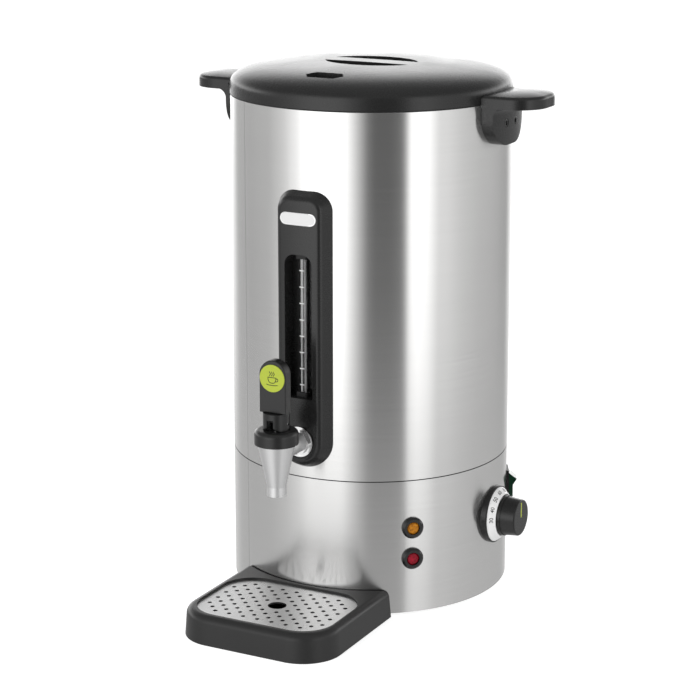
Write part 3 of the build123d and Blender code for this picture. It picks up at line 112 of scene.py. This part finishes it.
class Graph:
    """The nodes of one material or world."""

    def __init__(self, tree):
        self.tree = tree
        tree.nodes.clear()

    def node(self, kind, settings, sockets, output=0):
        """Adds a node: its settings first, then the values or links of its sockets."""
        made = self.tree.nodes.new(kind)
        for key, value in settings.items():
            if key == "stops":
                elements = made.color_ramp.elements
                while len(elements) < len(value):
                    elements.new(0.5)
                for element, (place, shade) in zip(elements, value):
                    element.position = place
                    element.color = shade
            else:
                setattr(made, key, value)
        for key, value in sockets.items():
            if isinstance(value, Value):
                self.tree.links.new(value.socket, made.inputs[key])
            else:
                made.inputs[key].default_value = value
        return Value(self, made.outputs[output]) if made.outputs else None

    def place(self):
        """Object coordinates, in metres."""
        return self.node("ShaderNodeTexCoord", {}, {}, "Object")

    def stretched(self, vector, scale):
        """The vector times a scale for each axis."""
        return self.node("ShaderNodeMapping", {}, {"Vector": vector, "Scale": scale})

    def axes(self, vector):
        """The three numbers of a vector."""
        split = self.node("ShaderNodeSeparateXYZ", {}, {"Vector": vector})
        return [Value(self, split.socket.node.outputs[i]) for i in range(3)]

    def noise(self, vector, scale, detail=2.0, roughness=0.5):
        """Cloudy noise from 0 to 1."""
        sockets = {"Vector": vector, "Scale": scale, "Detail": detail, "Roughness": roughness}
        return self.node("ShaderNodeTexNoise", {}, sockets)

    def mix(self, factor, first, second):
        """The first colour where the factor is 0, the second where it is 1."""
        sockets = {0: factor, 6: first, 7: second}
        return self.node("ShaderNodeMix", {"data_type": "RGBA"}, sockets, 2)

    def bump(self, height, distance, strength):
        """A normal leant by a height, with the distance in metres."""
        sockets = {"Height": height, "Distance": distance, "Strength": strength}
        return self.node("ShaderNodeBump", {}, sockets)


def colour(grey_or_rgb):
    """A four-number colour from a grey or from red, green and blue."""
    if isinstance(grey_or_rgb, (int, float)):
        return (grey_or_rgb,) * 3 + (1,)
    return (*grey_or_rgb, 1)


def finish_material(name, build):
    """Makes a material: build(graph) returns the sockets of its Principled shader."""
    material = bpy.data.materials.new(name)
    material.use_nodes = True
    graph = Graph(material.node_tree)
    shader = graph.node("ShaderNodeBsdfPrincipled", {}, build(graph))
    graph.node("ShaderNodeOutputMaterial", {}, {"Surface": shader})
    return material


# ---------------------------------------------------------------- finishes

WELD_AZIMUTH = math.radians(-124)  # of the upright seam where the sheet's ends meet
WELD_HALF = 0.0006
WELD_SOFT = 0.0004


def brushed_steel(graph):
    """Sheet brushed round the body: level hairlines, faint broad stains, a thin upright weld."""
    place = graph.place()
    hair = graph.noise(graph.stretched(place, (14, 14, 2200)), 1.0, 3.0, 0.65)
    lines = graph.noise(graph.stretched(place, (6, 6, 420)), 1.0, 2.0, 0.5)
    cloud = graph.noise(place, 9.0, 2.0, 0.5)
    x, y, z = graph.axes(place)
    off_weld = x * math.sin(WELD_AZIMUTH) - y * math.cos(WELD_AZIMUTH)
    near_side = (x * math.cos(WELD_AZIMUTH) + y * math.sin(WELD_AZIMUTH)).over(0)
    weld = (off_weld.maths("ABSOLUTE") * -1).over(-WELD_HALF, WELD_SOFT) * near_side
    tone = hair * 0.10 + lines * 0.08 + cloud * 0.05 + 0.62 - weld * 0.35
    return {
        "Base Color": graph.mix(tone, colour(0.45), colour((0.93, 0.925, 0.915))),
        "Metallic": 1.0,
        "Roughness": hair * 0.05 + cloud * 0.04 + 0.15,
        "Anisotropic": 0.85,
        "Anisotropic Rotation": 0.25,
        "Normal": graph.bump(hair, 0.00002, 0.35),
    }


def drawn_steel(graph):
    """Smooth sheet with fine cloudiness."""
    place = graph.place()
    cloud = graph.noise(place, 40.0, 3.0, 0.6)
    scuff = graph.noise(graph.stretched(place, (900, 60, 60)), 1.0, 2.0, 0.6)
    return {
        "Base Color": graph.mix(cloud * 0.4 + 0.3, colour(0.55), colour(0.78)),
        "Metallic": 1.0,
        "Roughness": scuff * 0.10 + 0.24,
        "Normal": graph.bump(scuff, 0.00002, 0.3),
    }


def moulded(base, rough, grain=0.00001, pale=1.6):
    """Moulded plastic: a fine even grain, and broad patches up to pale times lighter."""

    def build(graph):
        place = graph.place()
        grains = graph.noise(place, 1500.0, 2.0, 0.6)
        patches = graph.noise(place, 25.0, 3.0, 0.55)
        light = tuple(channel * pale for channel in colour(base)[:3])
        return {
            "Base Color": graph.mix(patches * 0.5 + grains * 0.2, colour(base), colour(light)),
            "Roughness": patches * 0.10 + grains * 0.06 + (rough - 0.08),
            "Normal": graph.bump(grains, grain, 0.5),
        }

    return build


def polished_metal(base, rough, turned=False):
    """Chrome or satin metal, with faint lathe lines round its upright axis where turned."""

    def build(graph):
        place = graph.place()
        fine = graph.stretched(place, (40, 40, 1800) if turned else (300, 300, 300))
        lines = graph.noise(fine, 1.0, 2.0, 0.5)
        return {
            "Base Color": graph.mix(lines * 0.5, colour(base), colour(base * 0.86)),
            "Metallic": 1.0,
            "Roughness": lines * 0.06 + rough,
            "Normal": graph.bump(lines, 0.00001, 0.25),
        }

    return build


def clear_glass(graph):
    """Thin clear tube, a little dusty."""
    dust = graph.noise(graph.place(), 300.0, 2.0, 0.5)
    return {
        "Base Color": graph.mix(dust, colour(0.92), colour(1.0)),
        "Roughness": dust * 0.05,
        "Transmission Weight": 1.0,
        "IOR": 1.45,
    }


# The sight glass: its dark line and its pale band, in part a painted reflection of the studio's
# right-hand panel, by degrees round it, and by height.
DARK_LINE_AT = -62
DARK_LINE_HALF = 24
DARK_LINE_LESS = 16  # how much narrower its half is above the height
DARK_LINE_Z = 0.272
DARK_LINE_SOFT = 4
PAINTED_REFLECTION_FROM = (-44, 6)


def water_column(graph):
    """Water in the sight glass, by degrees round it: streaks, a dark line, and a pale band that
    is in part a painted reflection of the studio's right-hand panel.
    """
    x, y, z = graph.axes(graph.place())
    turn = (y - TUBE_Y * MM).maths("ARCTAN2", x) * (180 / math.pi)
    streak = graph.noise(graph.stretched(graph.place(), (1400, 1400, 8)), 1.0, 2.0, 0.6)
    grey = graph.mix(streak, colour(0.22), colour(0.80))
    from_line = (turn - DARK_LINE_AT).maths("ABSOLUTE") + z.over(DARK_LINE_Z) * DARK_LINE_LESS
    lined = graph.mix(from_line.over(DARK_LINE_HALF, DARK_LINE_SOFT), colour(0.02), grey)
    return {
        # The pale side past the set angle is in part a painted reflection of the studio's
        # right-hand panel.
        "Base Color": graph.mix(turn.over(*PAINTED_REFLECTION_FROM), lined, colour(0.97)),
        "Roughness": streak * 0.2 + 0.2,
        "Normal": graph.bump(streak, 0.00005, 0.3),
    }


def lens_plastic(base, painted_glow):
    """Lamp cap of fine facets, each painted from a deep base at its middle to a lighter glow at
    its edge: a painted glow in the base colour.
    """

    def build(graph):
        place = graph.place()
        sockets = {"Vector": place, "Scale": 420.0}
        facets = graph.node("ShaderNodeTexVoronoi", {"feature": "F1"}, sockets, "Distance")
        return {
            # Painted glow: each facet lightens from its deep middle to its edge.
            "Base Color": graph.mix(facets, colour(base), colour(painted_glow)),
            "Roughness": facets * 0.1 + 0.25,
            "Specular IOR Level": 0.15,
            "Coat Weight": 0.12,
            "Coat Roughness": 0.05,
            "Normal": graph.bump(facets, 0.0003, 0.6),
        }

    return build


FINISHES = {
    "steel": brushed_steel,
    "tank_steel": drawn_steel,
    "black_plastic": moulded(0.010, 0.27),
    "badge": moulded(0.74, 0.28, pale=1.05),
    "tap_plastic": moulded(0.010, 0.30),
    "knob_plastic": moulded(0.008, 0.26),
    "lime": moulded((0.42, 0.50, 0.035), 0.35, pale=1.15),
    "dial_white": moulded(0.90, 0.35, pale=1.03),
    "green": moulded((0.002, 0.030, 0.013), 0.20, pale=1.3),
    "tray_plastic": moulded(0.014, 0.38),
    "grille_steel": drawn_steel,
    "tap_metal": polished_metal(0.86, 0.42, turned=True),
    "chrome": polished_metal(0.88, 0.06),
    "tube_glass": clear_glass,
    # The second colour of each lens is its painted glow at the facet edges.
    "amber": lens_plastic((0.24, 0.07, 0.003), (0.66, 0.26, 0.010)),
    "red": lens_plastic((0.12, 0.002, 0.006), (0.40, 0.006, 0.026)),
    "rubber": moulded(0.014, 0.6, grain=0.00005),
    "silicone": moulded(0.60, 0.5, pale=1.1),
    "fastener_steel": polished_metal(0.55, 0.25),
    "aluminium": polished_metal(0.72, 0.35),
    "element": polished_metal(0.30, 0.45),
    "brass": polished_metal(0.55, 0.3),
    "inner_plastic": moulded(0.10, 0.5),
    "wire": moulded((0.5, 0.03, 0.03), 0.4, pale=1.2),
    "button_red": moulded((0.6, 0.03, 0.02), 0.35, pale=1.2),
}
# Paints and linings of the pieces made below, beside the record's slots.
OWN_FINISHES = {
    "ink": moulded(0.012, 0.5, pale=1.3),
    "tick_paint": moulded(0.95, 0.4, pale=1.02),
    "water_and_painted_reflection": water_column,
    # gap_black is painted shade in the seam between jacket and base, and the black of the ring
    # just under the lid.
    "gap_black": moulded(0.006, 0.6, pale=1.4),
    "dark_steel": polished_metal(0.10, 0.42),
}
finishes = {**FINISHES, **OWN_FINISHES}
materials = {name: finish_material(name, build) for name, build in finishes.items()}

for part in frame["record"]["subparts"]:
    node = frame["nodes"][part["node"]]
    node.data.materials.clear()
    node.data.materials.append(materials[part["material_slot"]])

# ---------------------------------------------------------------- surfaces


def spots(x, y, z):
    """Points from their three coordinates, each a number or an array."""
    return np.stack(np.broadcast_arrays(x, y, z), -1)


def full_turn(steps):
    """Even angles round a circle."""
    return np.linspace(0, 2 * math.pi, steps, endpoint=False)


def skin(rows, endless=False):
    """Skins rings of points: each ring is a closed loop, and quads join it to the next.

    The last ring meets the first if the row of rings is endless. Otherwise a fan closes each
    end at its middle.
    """
    count, around = rows.shape[:2]
    points = rows.reshape(-1, 3)
    index = np.arange(count * around).reshape(count, around)
    beside = np.roll(index, -1, axis=1)
    above = np.roll(index, -1, axis=0)
    quads = np.stack([index, beside, np.roll(beside, -1, axis=0), above], -1)
    if endless:
        return points, quads.reshape(-1, 4).tolist()
    first_pole, last_pole = np.full((2, around), [[count * around], [count * around + 1]])
    faces = quads[:-1].reshape(-1, 4).tolist()
    faces += np.stack([beside[0], index[0], first_pole], -1).tolist()
    faces += np.stack([index[-1], beside[-1], last_pole], -1).tolist()
    return np.concatenate([points, rows[[0, -1]].mean(axis=1)]), faces


def outward(points, faces):
    """The faces, all turned over if the volume they enclose comes out negative."""
    fans = [(face[0], *pair) for face in faces for pair in zip(face[1:], face[2:])]
    first, second, third = points[np.array(fans)].transpose(1, 0, 2)
    volume = np.einsum("ij,ij", first, np.cross(second, third))
    return [face[::-1] for face in faces] if volume < 0 else faces


def piece(name, shells, finish, body="urn", sharp=35.0):
    """Joins shells, given in millimetres, into one object that rides on a body."""
    points, faces = [], []
    for shell_points, shell_faces in shells:
        start = len(points)
        shell_points = shell_points * MM
        points += shell_points.tolist()
        shell_faces = outward(shell_points, shell_faces)
        faces += [[start + corner for corner in face] for face in shell_faces]
    mesh = bpy.data.meshes.new(name)
    mesh.from_pydata(points, [], faces)
    mesh.polygons.foreach_set("use_smooth", [True] * len(faces))
    mesh.set_sharp_from_angle(angle=math.radians(sharp))
    mesh.materials.append(materials[finish])
    made = bpy.data.objects.new(name, mesh)
    bpy.context.scene.collection.objects.link(made)
    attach(made, body)
    return made


def turned(section, steps=192):
    """Turns a closed section of radius and height pairs round the Z axis into a ring."""
    radius, height = np.array(section).T
    angle = full_turn(steps)[:, None]
    return skin(spots(radius * np.cos(angle), radius * np.sin(angle), height), endless=True)


def left_of(along):
    """Unit vectors a quarter turn to the left of flat directions."""
    along = along / np.linalg.norm(along, axis=1)[:, None]
    return np.stack([-along[:, 1], along[:, 0]], 1)


def raised(middles, reach, height, shoulder, place):
    """Rings of a raised line: a low arched section, spread by reach and lifted by height.

    The section runs from -1 to 1 sideways, starts 0.4 under the face, stands up to 0.6, and
    leans in to the shoulder at its full height.
    """
    side = np.array([-1, -1, -shoulder, shoulder, 1, 1])[:, None]
    lift = np.array([-0.4, 0.6, 1, 1, 0.6, -0.4])
    flat = middles[:, None] + reach[:, None] * side
    return place(flat[..., 0], flat[..., 1], height * lift)


def stroke(path, width, height, place):
    """A raised line along flat points, with round ends, laid on by place(u, v, h).

    Each end has three rings: their distance back from the last point and their width follow
    a half circle.
    """
    along = np.gradient(path, axis=0)
    left = left_of(along)
    back = np.array([-0.92, -0.6, 0.0]) * width / 2
    share = np.array([0.39, 0.8, 1.0])
    first = path[0] + np.outer(back, along[0] / np.linalg.norm(along[0]))
    last = path[-1] - np.outer(back[::-1], along[-1] / np.linalg.norm(along[-1]))
    middles = np.concatenate([first, path[1:-1], last])
    shares = np.concatenate([share, np.ones(len(path) - 2), share[::-1]])
    sides = np.concatenate([left[[0, 0, 0]], left[1:-1], left[[-1, -1, -1]]])
    reach = sides * shares[:, None] * width / 2
    return skin(raised(middles, reach, height, 0.7, place))


def loop(outline, width, height, place):
    """A raised closed line round flat points, laid on by place(u, v, h)."""
    reach = left_of(np.roll(outline, -1, 0) - np.roll(outline, 1, 0)) * width / 2
    return skin(raised(outline, reach, height, 0.6, place), endless=True)


def round_front(radius, z, y=0.0):
    """Lays flat points on the front of an upright cylinder: u round it, v up, h outwards."""

    def place(u, v, h):
        angle = u / radius - math.pi / 2
        return spots((radius + h) * np.cos(angle), y + (radius + h) * np.sin(angle), z + v)

    return place


def line(start, end, steps=14):
    """Even points from a start to an end."""
    return np.linspace(start, end, steps + 1)


def curve(corners, steps):
    """A smooth line through flat points: a cubic between two, with slopes from their neighbours.

    This is the Catmull-Rom form, with one more point set out straight beyond each end.
    """
    corners = np.array(corners)
    padded = np.vstack([2 * corners[0] - corners[1], corners, 2 * corners[-1] - corners[-2]])
    along = np.linspace(0, len(corners) - 1, steps)
    first = np.minimum(along.astype(int), len(corners) - 2)
    t = (along - first)[:, None]
    a, b, c, d = (padded[first + k] for k in range(4))
    squared = (2 * a - 5 * b + 4 * c - d) * t**2
    cubed = (3 * b - a - 3 * c + d) * t**3
    return 0.5 * (2 * b + (c - a) * t + squared + cubed)


# ---------------------------------------------------------------- seams

# Radius, and height over the seam between jacket and base or over the jacket's rim.
SEAM_Z = 135.0
SEAM_SECTION = ((134.6, -0.92), (135.82, -0.92), (135.9, -0.5), (135.82, -0.08), (134.6, -0.08))
RIM_Z = 485.0
RIM_SECTION = ((136.02, -0.9), (136.3, -0.8), (136.38, -0.35), (136.3, 0.1), (136.02, 0.2))

# The seam ring is a black ring sunk in the gap between jacket and base: painted shade that
# darkens the seam.
seam = turned([(r, SEAM_Z + z) for r, z in SEAM_SECTION])
piece("seam_shade_ring", [seam], "gap_black")
rim = turned([(r, RIM_Z + z) for r, z in RIM_SECTION])
piece("rim_ring", [rim], "gap_black")

# ---------------------------------------------------------------- sight glass

TUBE_R = 4.0
TICKS = 8
TICK_LOW = 226.6
TICK_STEP = 15.6
TICK_SPAN = (-2.4, 2.2)
TICK_WIDTH = 1.0
LINE_RISE = 0.12
COLUMN = ((2.3, 212.0), (2.7, 212.4), (2.7, 353.6), (2.3, 354.0))

on_tube = round_front(TUBE_R, 0, TUBE_Y)
tick_heights = [TICK_LOW + TICK_STEP * n for n in range(TICKS)]
ticks = [
    stroke(line((TICK_SPAN[0], z), (TICK_SPAN[1], z), 8), TICK_WIDTH, LINE_RISE, on_tube)
    for z in tick_heights
]
piece("gauge_ticks", ticks, "tick_paint")

column_r, column_z = np.array(COLUMN).T[:, :, None]
angle = full_turn(48)
column = spots(column_r * np.cos(angle), TUBE_Y + column_r * np.sin(angle), column_z)
# The column's pale side is in part a painted reflection of the studio's right-hand panel.
piece("gauge_column", [skin(column)], "water_and_painted_reflection")

# ---------------------------------------------------------------- badge rim

BADGE_FACE_R = 149.3
BADGE_MID_Z = 385.6
BADGE_END = 12.75  # from the badge's middle to the middle of its round end
BADGE_ROUND = 5.3

ends = np.radians([np.linspace(-90, 90, 33), np.linspace(90, 270, 33)])
middles = np.array([[BADGE_END], [-BADGE_END]])
badge_u = middles + BADGE_ROUND * np.cos(ends)
badge_v = BADGE_ROUND * np.sin(ends)
badge_outline = np.stack([badge_u.ravel(), badge_v.ravel()], 1)
on_badge = round_front(BADGE_FACE_R, BADGE_MID_Z)
piece("badge_rim", [loop(badge_outline, 0.7, LINE_RISE, on_badge)], "chrome")

# ---------------------------------------------------------------- cup on the lever's disc

DISC_Y = -198.0
DISC_Z = 246.7
CUP_LINE = 0.62
CUP_RISE = 0.14
BOWL = (
    (-4.2, 0.9), (-4.0, -1.2), (-3.0, -3.3), (-1.4, -4.2),
    (1.4, -4.2), (3.0, -3.3), (4.0, -1.2), (4.2, 0.9),
)
EAR = ((4.1, 0.0), (5.6, 0.1), (6.2, -1.1), (5.3, -2.4), (3.6, -2.5))
SAUCER = ((-5.6, -5.9), (-3.0, -6.4), (3.0, -6.4), (5.6, -5.9))
STEAM_X = (-2.0, 0.0, 2.0)


def on_disc(u, v, h):
    """Lays flat points on the disc: u to the right, v up, h forwards."""
    return spots(u, DISC_Y - h, DISC_Z + v)


rise = np.linspace(2.4, 6.2, 20)
steam = [np.stack([x + 0.5 * np.sin(rise * 1.9), rise], 1) for x in STEAM_X]
cup = [curve(BOWL, 40), line(BOWL[0], BOWL[-1]), curve(EAR, 24), curve(SAUCER, 20), *steam]
cup_lines = [stroke(path, CUP_LINE, CUP_RISE, on_disc) for path in cup]
piece("cup_mark", cup_lines, "ink", "lever")

# ---------------------------------------------------------------- scale and figures of the dial

DIAL_Z = 78.4
# Place along X and radius of the conical scale: its back, its outer edge, its inner edge.
CONE = ((139.72, 20.3), (139.72, 26.3), (140.2, 26.3), (146.2, 20.9), (146.2, 20.3))
FIGURE_SIZE = 5.6
FIGURE_HALF_DEPTH = 0.1
FIGURE_FATTER = 0.02
# Each figure, and its degrees from straight up, counted towards the tap.
FIGURES = (
    (30, 88), (40, 63), (50, 36), (60, 10),
    (70, -16), (80, -43), (90, -70), (100, -97),
)

cone_points, cone_faces = turned([(r, x) for x, r in CONE])
cone_points = np.roll(cone_points, 1, axis=1) + (0, 0, DIAL_Z)
piece("dial_scale", [(cone_points, cone_faces)], "dial_white")


def figure_shell(text, turn):
    """Raised figures on the cone, their tops away from its middle.

    A flat letter's v runs down the cone from its middle line, h stands square to it, and u
    goes round by the angle u over the radius.
    """
    letters = bpy.data.curves.new("figure", "FONT")
    letters.body = text
    letters.size = FIGURE_SIZE
    letters.extrude = FIGURE_HALF_DEPTH
    letters.offset = FIGURE_FATTER
    letters.align_x = "CENTER"
    letters.align_y = "CENTER"
    holder = bpy.data.objects.new("figure", letters)
    mesh = bpy.data.meshes.new_from_object(holder)
    work = bmesh.new()
    work.from_mesh(mesh)
    bmesh.ops.remove_doubles(work, verts=work.verts, dist=0.0005)
    work.verts.index_update()
    u, v, h = np.array([vert.co for vert in work.verts]).T
    faces = [[vert.index for vert in face.verts] for face in work.faces]
    work.free()
    bpy.data.objects.remove(holder)
    bpy.data.curves.remove(letters)
    bpy.data.meshes.remove(mesh)
    outer, inner = np.array(CONE[2:4])
    down_x, down_r = (outer - inner) / np.linalg.norm(outer - inner)
    middle_x, middle_r = (outer + inner) / 2
    radius = middle_r + v * down_r - h * down_x
    angle = turn - u / radius
    x = middle_x + v * down_x + h * down_r
    return spots(x, -radius * np.sin(angle), DIAL_Z + radius * np.cos(angle)), faces


figures = [figure_shell(str(number), math.radians(turn)) for number, turn in FIGURES]
piece("dial_figures", figures, "ink")

# ---------------------------------------------------------------- handles

PLATE_Z = 493.5
CROWN_RISE = 2.2
CROWN_SUNK = 0.4
CROWN_POWER = 2.4
CROWN_HALF = 33.2
CROWN_LID_R = 137.4
CROWN_END = 182.2
CROWN_CORNER = 26.2
CROWN_MIDDLE = np.array([158.0, 0.0])
CROWN_SHARES = np.array([1.0, 1.0, 0.96, 0.9, 0.82, 0.72, 0.6, 0.46, 0.3, 0.15, 0.04])


def crown_outline():
    """Outline of a handle's flat top: an arc beside the lid, straight sides, a rounded end."""
    sweep = math.asin(CROWN_HALF / CROWN_LID_R)
    beside_lid = np.linspace(-sweep, sweep, 20)
    arc = CROWN_LID_R * np.stack([np.cos(beside_lid), np.sin(beside_lid)], 1)
    middle = np.array([CROWN_END - CROWN_CORNER, CROWN_HALF - CROWN_CORNER])
    flank = line(arc[-1], (middle[0], CROWN_HALF), 8)[1:]
    quarter = np.linspace(math.pi / 2, 0, 24)[1:]
    corner = middle + CROWN_CORNER * np.stack([np.cos(quarter), np.sin(quarter)], 1)
    there = np.concatenate([flank, corner])
    return np.concatenate([arc, there, there[::-1] * (1, -1)])


def crown_shell(side):
    """A low dome over the flat top, on the right for a side of 1 and on the left for -1.

    Its height is 1 less the share of the way out to a power, and its foot is sunk.
    """
    outline = CROWN_MIDDLE + (crown_outline() - CROWN_MIDDLE) * CROWN_SHARES[:, None, None]
    height = PLATE_Z + CROWN_RISE * (1 - CROWN_SHARES**CROWN_POWER)
    height[0] -= CROWN_SUNK
    return skin(spots(side * outline[..., 0], side * outline[..., 1], height[:, None]))


for name, side in (("handle_crown_right", 1), ("handle_crown_left", -1)):
    piece(name, [crown_shell(side)], "black_plastic", sharp=60)

SCREW_Z = 466.0
SCREW_Y = 10.4
# Distance from the body's axis and radius of each ring, first the round ones, from the shank
# to the head's face, then the six-sided ones, down the socket.
SCREW_ROUND = (
    (132.7, 2.0), (145.0, 2.0), (145.0, 3.9), (146.2, 3.9), (146.5, 3.75), (146.6, 3.5),
)
SCREW_SOCKET = ((146.6, 2.5), (146.4, 2.35), (145.3, 2.3), (145.2, 0.4))


def screw_shell(side, y):
    """Socket-head screw along X.

    A six-sided ring's radius is its nominal one times cos 30 over the cosine of the angle
    from the middle of the nearest side.
    """
    angle = full_turn(48)
    facet = math.pi / 6
    hexagon = math.cos(facet) / np.cos((angle + facet) % (2 * facet) - facet)
    shapes = [np.ones_like(angle)] * len(SCREW_ROUND) + [hexagon] * len(SCREW_SOCKET)
    reach, radius = np.array(SCREW_ROUND + SCREW_SOCKET).T[:, :, None]
    radius = radius * np.array(shapes)
    across = y + radius * np.cos(angle)
    return skin(spots(side * reach, across, SCREW_Z + radius * np.sin(angle)))


screw_shells = [screw_shell(side, y) for side in (1, -1) for y in (SCREW_Y, -SCREW_Y)]
screws = piece("handle_socket_screws", screw_shells, "dark_steel")
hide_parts("handle_screws")

# ---------------------------------------------------------------- light, floor and background

VIEW_AZIMUTH = math.radians(-63.0)  # towards the camera, seen from the body's axis
# Brightness of the studio round the object, by degrees from the camera, seen from above: a
# wide soft panel on the left, a dark gap behind the camera, a narrow panel on the right.
STUDIO = (
    (-180, 1.40), (-160, 1.05), (-140, 0.48), (-115, 0.42), (-92, 0.50), (-75, 0.76),
    (-62, 1.15), (-52, 1.70), (-24, 1.75), (-17, 1.15), (-10, 0.62), (-3, 0.20), (3, 0.12),
    (15, 0.12), (25, 0.17), (28.5, 0.50), (31, 1.35), (38, 1.60), (47, 1.40), (56, 0.90),
    (64, 0.88), (78, 0.72), (100, 0.55), (125, 0.46), (147, 0.38), (160, 0.80), (180, 1.40),
)
# Brightness behind the object, by the sine of the height: a lit backdrop, a dark ceiling.
BACKDROP = (
    (0.00, 3.20), (0.08, 2.90), (0.15, 2.30), (0.22, 2.05), (0.28, 1.60), (0.37, 0.70),
    (0.50, 0.32), (0.80, 0.28), (1.00, 0.40),
)
CEILING = 0.40
BRIGHTEST = 3.3
# Edges, each with its soft width: the sine of the height, and the cosine away from the camera.
CEILING_FROM = (0.45, 0.25)
BACKDROP_FROM = ((0.05, 0.07), (0.1, 0.35))
LOW_BACKDROP_FROM = ((-0.12, 0.05), (0.86, 0.1))


def grey_stops(table, first=0.0, span=1.0):
    """Ramp stops for a table of places and levels, as shares of the brightest."""
    return [((place - first) / span, colour(level / BRIGHTEST)) for place, level in table]


def studio_world(graph):
    """White to the camera; in reflections and soft light the studio's panels and backdrop."""
    direction = graph.node("ShaderNodeTexCoord", {}, {}, "Generated")
    x, y, z = graph.axes(direction)
    ahead = x * math.cos(VIEW_AZIMUTH) + y * math.sin(VIEW_AZIMUTH)
    aside = x * -math.sin(VIEW_AZIMUTH) + y * math.cos(VIEW_AZIMUTH)
    turn = aside.maths("ARCTAN2", ahead) / (2 * math.pi) + 0.5
    stops = {"stops": grey_stops(STUDIO, -180, 360)}
    panels = graph.node("ShaderNodeValToRGB", stops, {"Fac": turn})
    front = graph.mix(z.over(*CEILING_FROM), panels, colour(CEILING / BRIGHTEST))
    sky = graph.node("ShaderNodeValToRGB", {"stops": grey_stops(BACKDROP)}, {"Fac": z})
    behind = ahead * -1
    high, low = (
        z.over(*height) * behind.over(*away)
        for height, away in (BACKDROP_FROM, LOW_BACKDROP_FROM)
    )
    level = graph.mix(high.maths("MAXIMUM", low), front, sky)
    camera_ray = graph.node("ShaderNodeLightPath", {}, {}, "Is Camera Ray")
    rays = camera_ray.socket.node.outputs
    seen = camera_ray.maths("MAXIMUM", Value(graph, rays["Is Transmission Ray"]))
    studio = graph.node("ShaderNodeBackground", {}, {"Color": level, "Strength": BRIGHTEST})
    white = graph.node("ShaderNodeBackground", {}, {"Color": colour(1.0), "Strength": 1.0})
    shown = graph.node("ShaderNodeMixShader", {}, {0: seen, 1: studio, 2: white})
    graph.node("ShaderNodeOutputWorld", {}, {"Surface": shown})


world = bpy.data.worlds.new("studio")
world.use_nodes = True
bpy.context.scene.world = world
studio_world(Graph(world.node_tree))

LAMP_TARGET = Vector((0, 0, 0.25))


def soft_lamp(name, place, size, power):
    """A square lamp that faces the body and shows in no reflection."""
    lamp = bpy.data.lights.new(name, "AREA")
    lamp.size = size
    lamp.energy = power
    holder = bpy.data.objects.new(name, lamp)
    holder.location = place
    holder.rotation_euler = (LAMP_TARGET - Vector(place)).to_track_quat("-Z", "Y").to_euler()
    holder.visible_glossy = False
    bpy.context.scene.collection.objects.link(holder)


soft_lamp("key_lamp", (-1.0, -1.9, 1.9), 1.4, 22)
soft_lamp("fill_lamp", (2.2, -0.6, 1.5), 1.2, 10)

FLOOR_HALF = 6.0
FLOOR_Z = -0.0005
SHEEN_R = 3.0
SHEEN_Z = -0.0002
SHEEN_SHARE = 0.72
SHEEN_FADE = 0.9


def pale_floor(graph):
    """Even pale floor that glows a little more to the camera than to the object."""
    path = graph.node("ShaderNodeLightPath", {}, {}, "Is Camera Ray")
    return {
        "Base Color": colour(0.80),
        "Roughness": 0.9,
        "Specular IOR Level": 0.1,
        "Emission Color": graph.mix(path, colour(0.45), colour(1.0)),
        "Emission Strength": 0.68,
    }


def table_sheen(graph):
    """Pale table in the metal's reflections: it fades as e to minus the distance squared."""
    x, y, z = graph.axes(graph.place())
    reach = ((x * x + y * y).maths("SQRT") - BODY_R * MM) / SHEEN_FADE
    return {
        "Base Color": colour(0.0),
        "Specular IOR Level": 0.0,
        "Emission Color": colour(0.50),
        "Emission Strength": 1.0,
        "Alpha": (reach * reach * -1).maths("EXPONENT") * SHEEN_SHARE,
    }


def stage_sheet(name, corners, build):
    """A level sheet of the studio, which isn't part of the object."""
    mesh = bpy.data.meshes.new(name)
    mesh.from_pydata(corners.tolist(), [], [list(range(len(corners)))])
    mesh.materials.append(finish_material(build.__name__, build))
    sheet = bpy.data.objects.new(name, mesh)
    bpy.context.scene.collection.objects.link(sheet)
    return sheet


corner_x, corner_y = np.array([(-1, -1), (1, -1), (1, 1), (-1, 1)]).T * FLOOR_HALF
floor = stage_sheet("floor", spots(corner_x, corner_y, FLOOR_Z), pale_floor)
floor.visible_glossy = False

angle = full_turn(64)
disc = spots(SHEEN_R * np.cos(angle), SHEEN_R * np.sin(angle), SHEEN_Z)
sheen = stage_sheet("table_sheen", disc, table_sheen)
sheen.visible_camera = False
sheen.visible_diffuse = False
sheen.visible_shadow = False
sheen.visible_transmission = False
